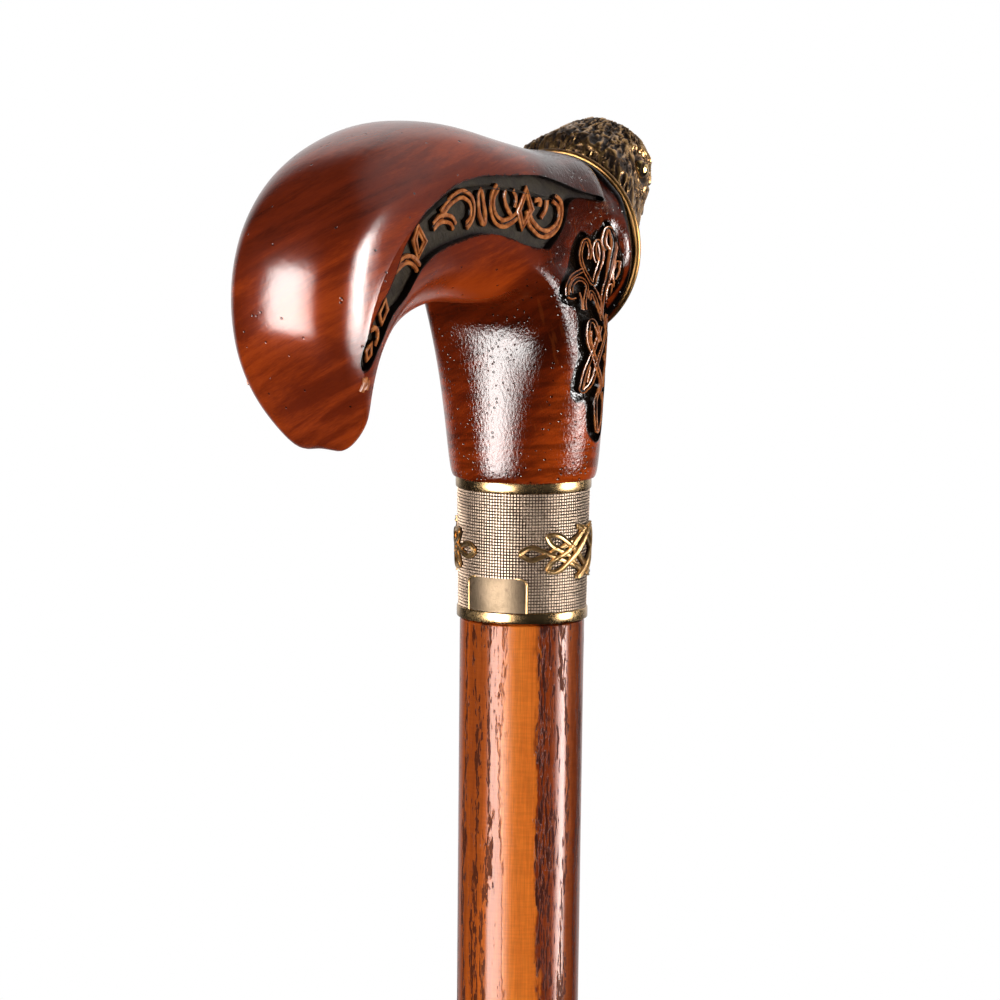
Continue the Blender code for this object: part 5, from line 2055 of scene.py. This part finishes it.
@dataclass
class Fastenings:
    """The hidden studs, pin, washer and insert, which keep their CAD shape."""

    effects: Effects
    steel_nodes: tuple[str, ...] = ("joint_stud", "head_stud", "head_pin", "tip_washer")
    brass_nodes: tuple[str, ...] = ("handle_insert",)

    def dress(self, nodes: dict[str, bpy.types.Object]) -> None:
        """Gives each CAD node its finish."""
        steel = PlatedSteel("plated_steel", self.effects).make()
        brass = PolishedBrass("insert_brass_finish", self.effects, roughness=0.3).make()
        for names, finish, slot in (
            (self.steel_nodes, steel, "stud_steel"),
            (self.brass_nodes, brass, "insert_brass"),
        ):
            for name in names:
                nodes[name].data.materials.clear()
                nodes[name].data.materials.append(finish)
                LOG.info("%s: CAD shape", name)


# ---------------------------------------------------------------- the studio


@dataclass
class Studio:
    """Pale floor, white surroundings and two large soft lamps."""

    look_at: Vector = field(default_factory=lambda: Vector((0.0, 0.0, 0.89)))
    softbox_away: float = 1.2

    @staticmethod
    def _towards(azimuth: float, elevation: float) -> Vector:
        """Unit direction from the object at angles in degrees."""
        a, e = math.radians(azimuth), math.radians(elevation)
        return Vector((math.cos(a) * math.cos(e), math.sin(a) * math.cos(e), math.sin(e)))

    def _lamp(self, name: str, azimuth: float, elevation: float, away: float, size: Pair, watts: float) -> None:
        """A rectangular soft lamp turned to the object.

        Args:
            name: name of the lamp.
            azimuth: direction of the lamp from the object, in degrees from +X.
            elevation: its height above the horizon, in degrees.
            away: its distance in metres.
            size: its width and height in metres.
            watts: its power.
        """
        data = bpy.data.lights.new(name, "AREA")
        data.shape = "RECTANGLE"
        data.size, data.size_y = size
        data.energy = watts
        lamp = bpy.data.objects.new(name, data)
        bpy.context.scene.collection.objects.link(lamp)
        back = self._towards(azimuth, elevation)
        lamp.location = self.look_at + back * away
        lamp.rotation_euler = (-back).to_track_quat("-Z", "Y").to_euler()

    def _world(self) -> None:
        """White for the camera; in reflections a white wall behind and a dim lamp high up."""
        world = bpy.data.worlds.new("studio")
        bpy.context.scene.world = world
        world.use_nodes = True
        world.node_tree.nodes.clear()
        g = Graph(world.node_tree)
        rays = g.node("ShaderNodeLightPath")
        heading = g.axes(g.node("ShaderNodeTexCoord").outputs["Generated"])
        wall = self._towards(28.0, 0.0)
        facing = g.maths("ADD", g.maths("MULTIPLY", heading[0], wall.x), g.maths("MULTIPLY", heading[1], wall.y))
        white = g.maths("MULTIPLY", g.levels(facing, 0.6, 0.88, 0.02, 0.9), g.levels(heading[2], -0.5, 0.0, 0.1, 1.0))
        lamp = self._towards(-25.0, 42.0)
        parts = [g.maths("MULTIPLY", part, share) for part, share in zip(heading, lamp)]
        high = g.levels(g.maths("ADD", g.maths("ADD", parts[0], parts[1]), parts[2]), 0.72, 0.97, 0.0, 0.6)
        white = g.maths("ADD", white, high)
        glossy = g.node("ShaderNodeBackground", {"Color": (1.0, 1.0, 1.0, 1.0), "Strength": white})
        diffuse = g.node("ShaderNodeBackground", {"Color": (1.0, 1.0, 1.0, 1.0), "Strength": 0.4})
        seen = g.node("ShaderNodeBackground", {"Color": (1.0, 1.0, 1.0, 1.0), "Strength": 1.0})
        unseen = g.node("ShaderNodeMixShader", {0: rays.outputs["Is Glossy Ray"], 1: diffuse.outputs[0], 2: glossy.outputs[0]})
        both = g.node("ShaderNodeMixShader", {0: rays.outputs["Is Camera Ray"], 1: unseen.outputs[0], 2: seen.outputs[0]})
        g.node("ShaderNodeOutputWorld", {0: both.outputs[0]})

    def _floor(self) -> bpy.types.Object:
        """A round pale floor that fades into the white surroundings at its edge."""
        deselect_all()
        bpy.ops.mesh.primitive_circle_add(vertices=96, radius=2.4, fill_type="NGON")
        floor = named("floor")
        material = bpy.data.materials.new("pale_floor")
        material.use_nodes = True
        material.node_tree.nodes.clear()
        g = Graph(material.node_tree)
        x, y, _ = g.axes(g.places())
        out = g.maths("SQRT", g.maths("ADD", g.maths("POWER", x, 2.0), g.maths("POWER", y, 2.0)))
        paper = g.node("ShaderNodeBsdfDiffuse", {"Color": (0.86, 0.86, 0.86, 1.0)})
        white = g.node("ShaderNodeEmission", {"Color": (1.0, 1.0, 1.0, 1.0), "Strength": 1.0})
        share = g.maths("MULTIPLY", g.levels(out, 0.5, 2.2), g.node("ShaderNodeLightPath").outputs["Is Camera Ray"])
        both = g.node("ShaderNodeMixShader", {0: share, 1: paper.outputs[0], 2: white.outputs[0]})
        g.node("ShaderNodeOutputMaterial", {0: both.outputs[0]})
        floor.data.materials.append(material)
        floor.visible_glossy = False
        return floor

    def _softbox(
        self, name: str, azimuth: float, elevation: float, size: Pair, strength: float, fades: tuple[float, float, float]
    ) -> bpy.types.Object:
        """A bright panel that shows only in gloss, where its lamp stands.

        Args:
            name: name of the panel.
            azimuth: direction of the panel from the object, in degrees from +X.
            elevation: its height above the horizon, in degrees.
            size: its width and height in metres.
            strength: how bright it is.
            fades: shares over which it fades at its first side, its second side and its foot.

        Returns:
            The panel.
        """
        deselect_all()
        bpy.ops.mesh.primitive_plane_add(size=1.0)
        panel = named(name)
        back = self._towards(azimuth, elevation)
        turn = (-back).to_track_quat("-Z", "Y").to_matrix().to_4x4()
        place = Matrix.Translation(self.look_at + back * self.softbox_away)
        panel.data.transform(place @ turn @ Matrix.Diagonal((*size, 1.0, 1.0)))
        material = bpy.data.materials.new(name)
        material.use_nodes = True
        material.node_tree.nodes.clear()
        g = Graph(material.node_tree)
        across, up, _ = g.axes(g.node("ShaderNodeTexCoord").outputs["UV"])
        sides = g.maths("MULTIPLY", g.levels(across, 0.0, fades[0]), g.levels(across, 1.0 - fades[1], 1.0, 1.0, 0.0))
        height = g.maths("MULTIPLY", g.levels(up, 0.0, fades[2], 0.3, 1.0), g.levels(up, 0.84, 1.0, 1.0, 0.0))
        glow = g.maths("MULTIPLY", g.maths("MULTIPLY", sides, height), strength)
        lit = g.node("ShaderNodeEmission", {"Color": (1.0, 0.985, 0.965, 1.0), "Strength": glow})
        g.node("ShaderNodeOutputMaterial", {0: lit.outputs[0]})
        panel.data.materials.append(material)
        panel.visible_camera = False
        panel.visible_diffuse = False
        panel.visible_shadow = False
        return panel

    def build(self) -> None:
        """Sets up floor, surroundings and lamps."""
        scene = bpy.context.scene
        scene.view_settings.view_transform = "Standard"
        self._world()
        left = self._softbox("left_softbox", 168.5, -1.0, (1.2, 1.3), 25.0, (0.2, 0.6, 0.15))
        right = self._softbox("right_softbox", -72.0, -2.0, (0.66, 0.84), 36.0, (0.62, 0.3, 0.45))
        self._lamp("left_lamp", 163.0, 8.0, 1.2, (1.1, 1.25), 10.0)
        self._lamp("right_lamp", -70.0, -5.0, 1.2, (0.95, 0.85), 7.5)
        for lamp in [o for o in scene.objects if o.type == "LIGHT"]:
            lamp.visible_glossy = False
        self._floor()


@dataclass
class Portrait:
    """The camera of the photograph: a long lens behind the raven's right shoulder."""

    lens: float = 162.0
    heading: float = 28.0
    fall: float = 7.17
    roll: float = 0.65
    distance: float = 0.794
    target: Vector = field(default_factory=lambda: Vector((0.0, 0.0, 0.8459)))
    shift_right: float = 4.127 * MM

    def build(self) -> None:
        """Makes the camera and sets it as the scene's."""
        heading, fall, roll = (math.radians(a) for a in (self.heading, self.fall, self.roll))
        ahead = Vector((math.cos(heading) * math.cos(fall), math.sin(heading) * math.cos(fall), -math.sin(fall)))
        right = Vector((math.sin(heading), -math.cos(heading), 0.0))
        up = right.cross(ahead)
        across = right * math.cos(roll) + up * math.sin(roll)
        upright = up * math.cos(roll) - right * math.sin(roll)
        place = self.target - ahead * self.distance - right * self.shift_right
        data = bpy.data.cameras.new("portrait")
        data.lens = self.lens
        data.sensor_width = 36.0
        data.clip_start, data.clip_end = 0.01, 20.0
        camera = bpy.data.objects.new("portrait", data)
        bpy.context.scene.collection.objects.link(camera)
        turn = Matrix((across, upright, -ahead)).transposed().to_4x4()
        camera.matrix_world = Matrix.Translation(place) @ turn
        bpy.context.scene.camera = camera


# ---------------------------------------------------------------- the cane


def main() -> None:
    """Builds the cane and its studio in order."""
    logging.basicConfig(level=logging.INFO, format="%(name)s: %(message)s")
    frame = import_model()
    effects = Effects()
    grip = Grip(effects)
    blank = grip.build()
    Carving(effects, grip).build(blank)
    remove(blank)
    SeatRing(effects).build()
    RavenHead(effects).build()
    Collar(effects).build()
    AshShaft(effects).build()
    RubberTip(effects).build()
    Fastenings(effects).dress(frame["nodes"])
    Studio().build()
    Portrait().build()


if __name__ == "__main__":
    main()
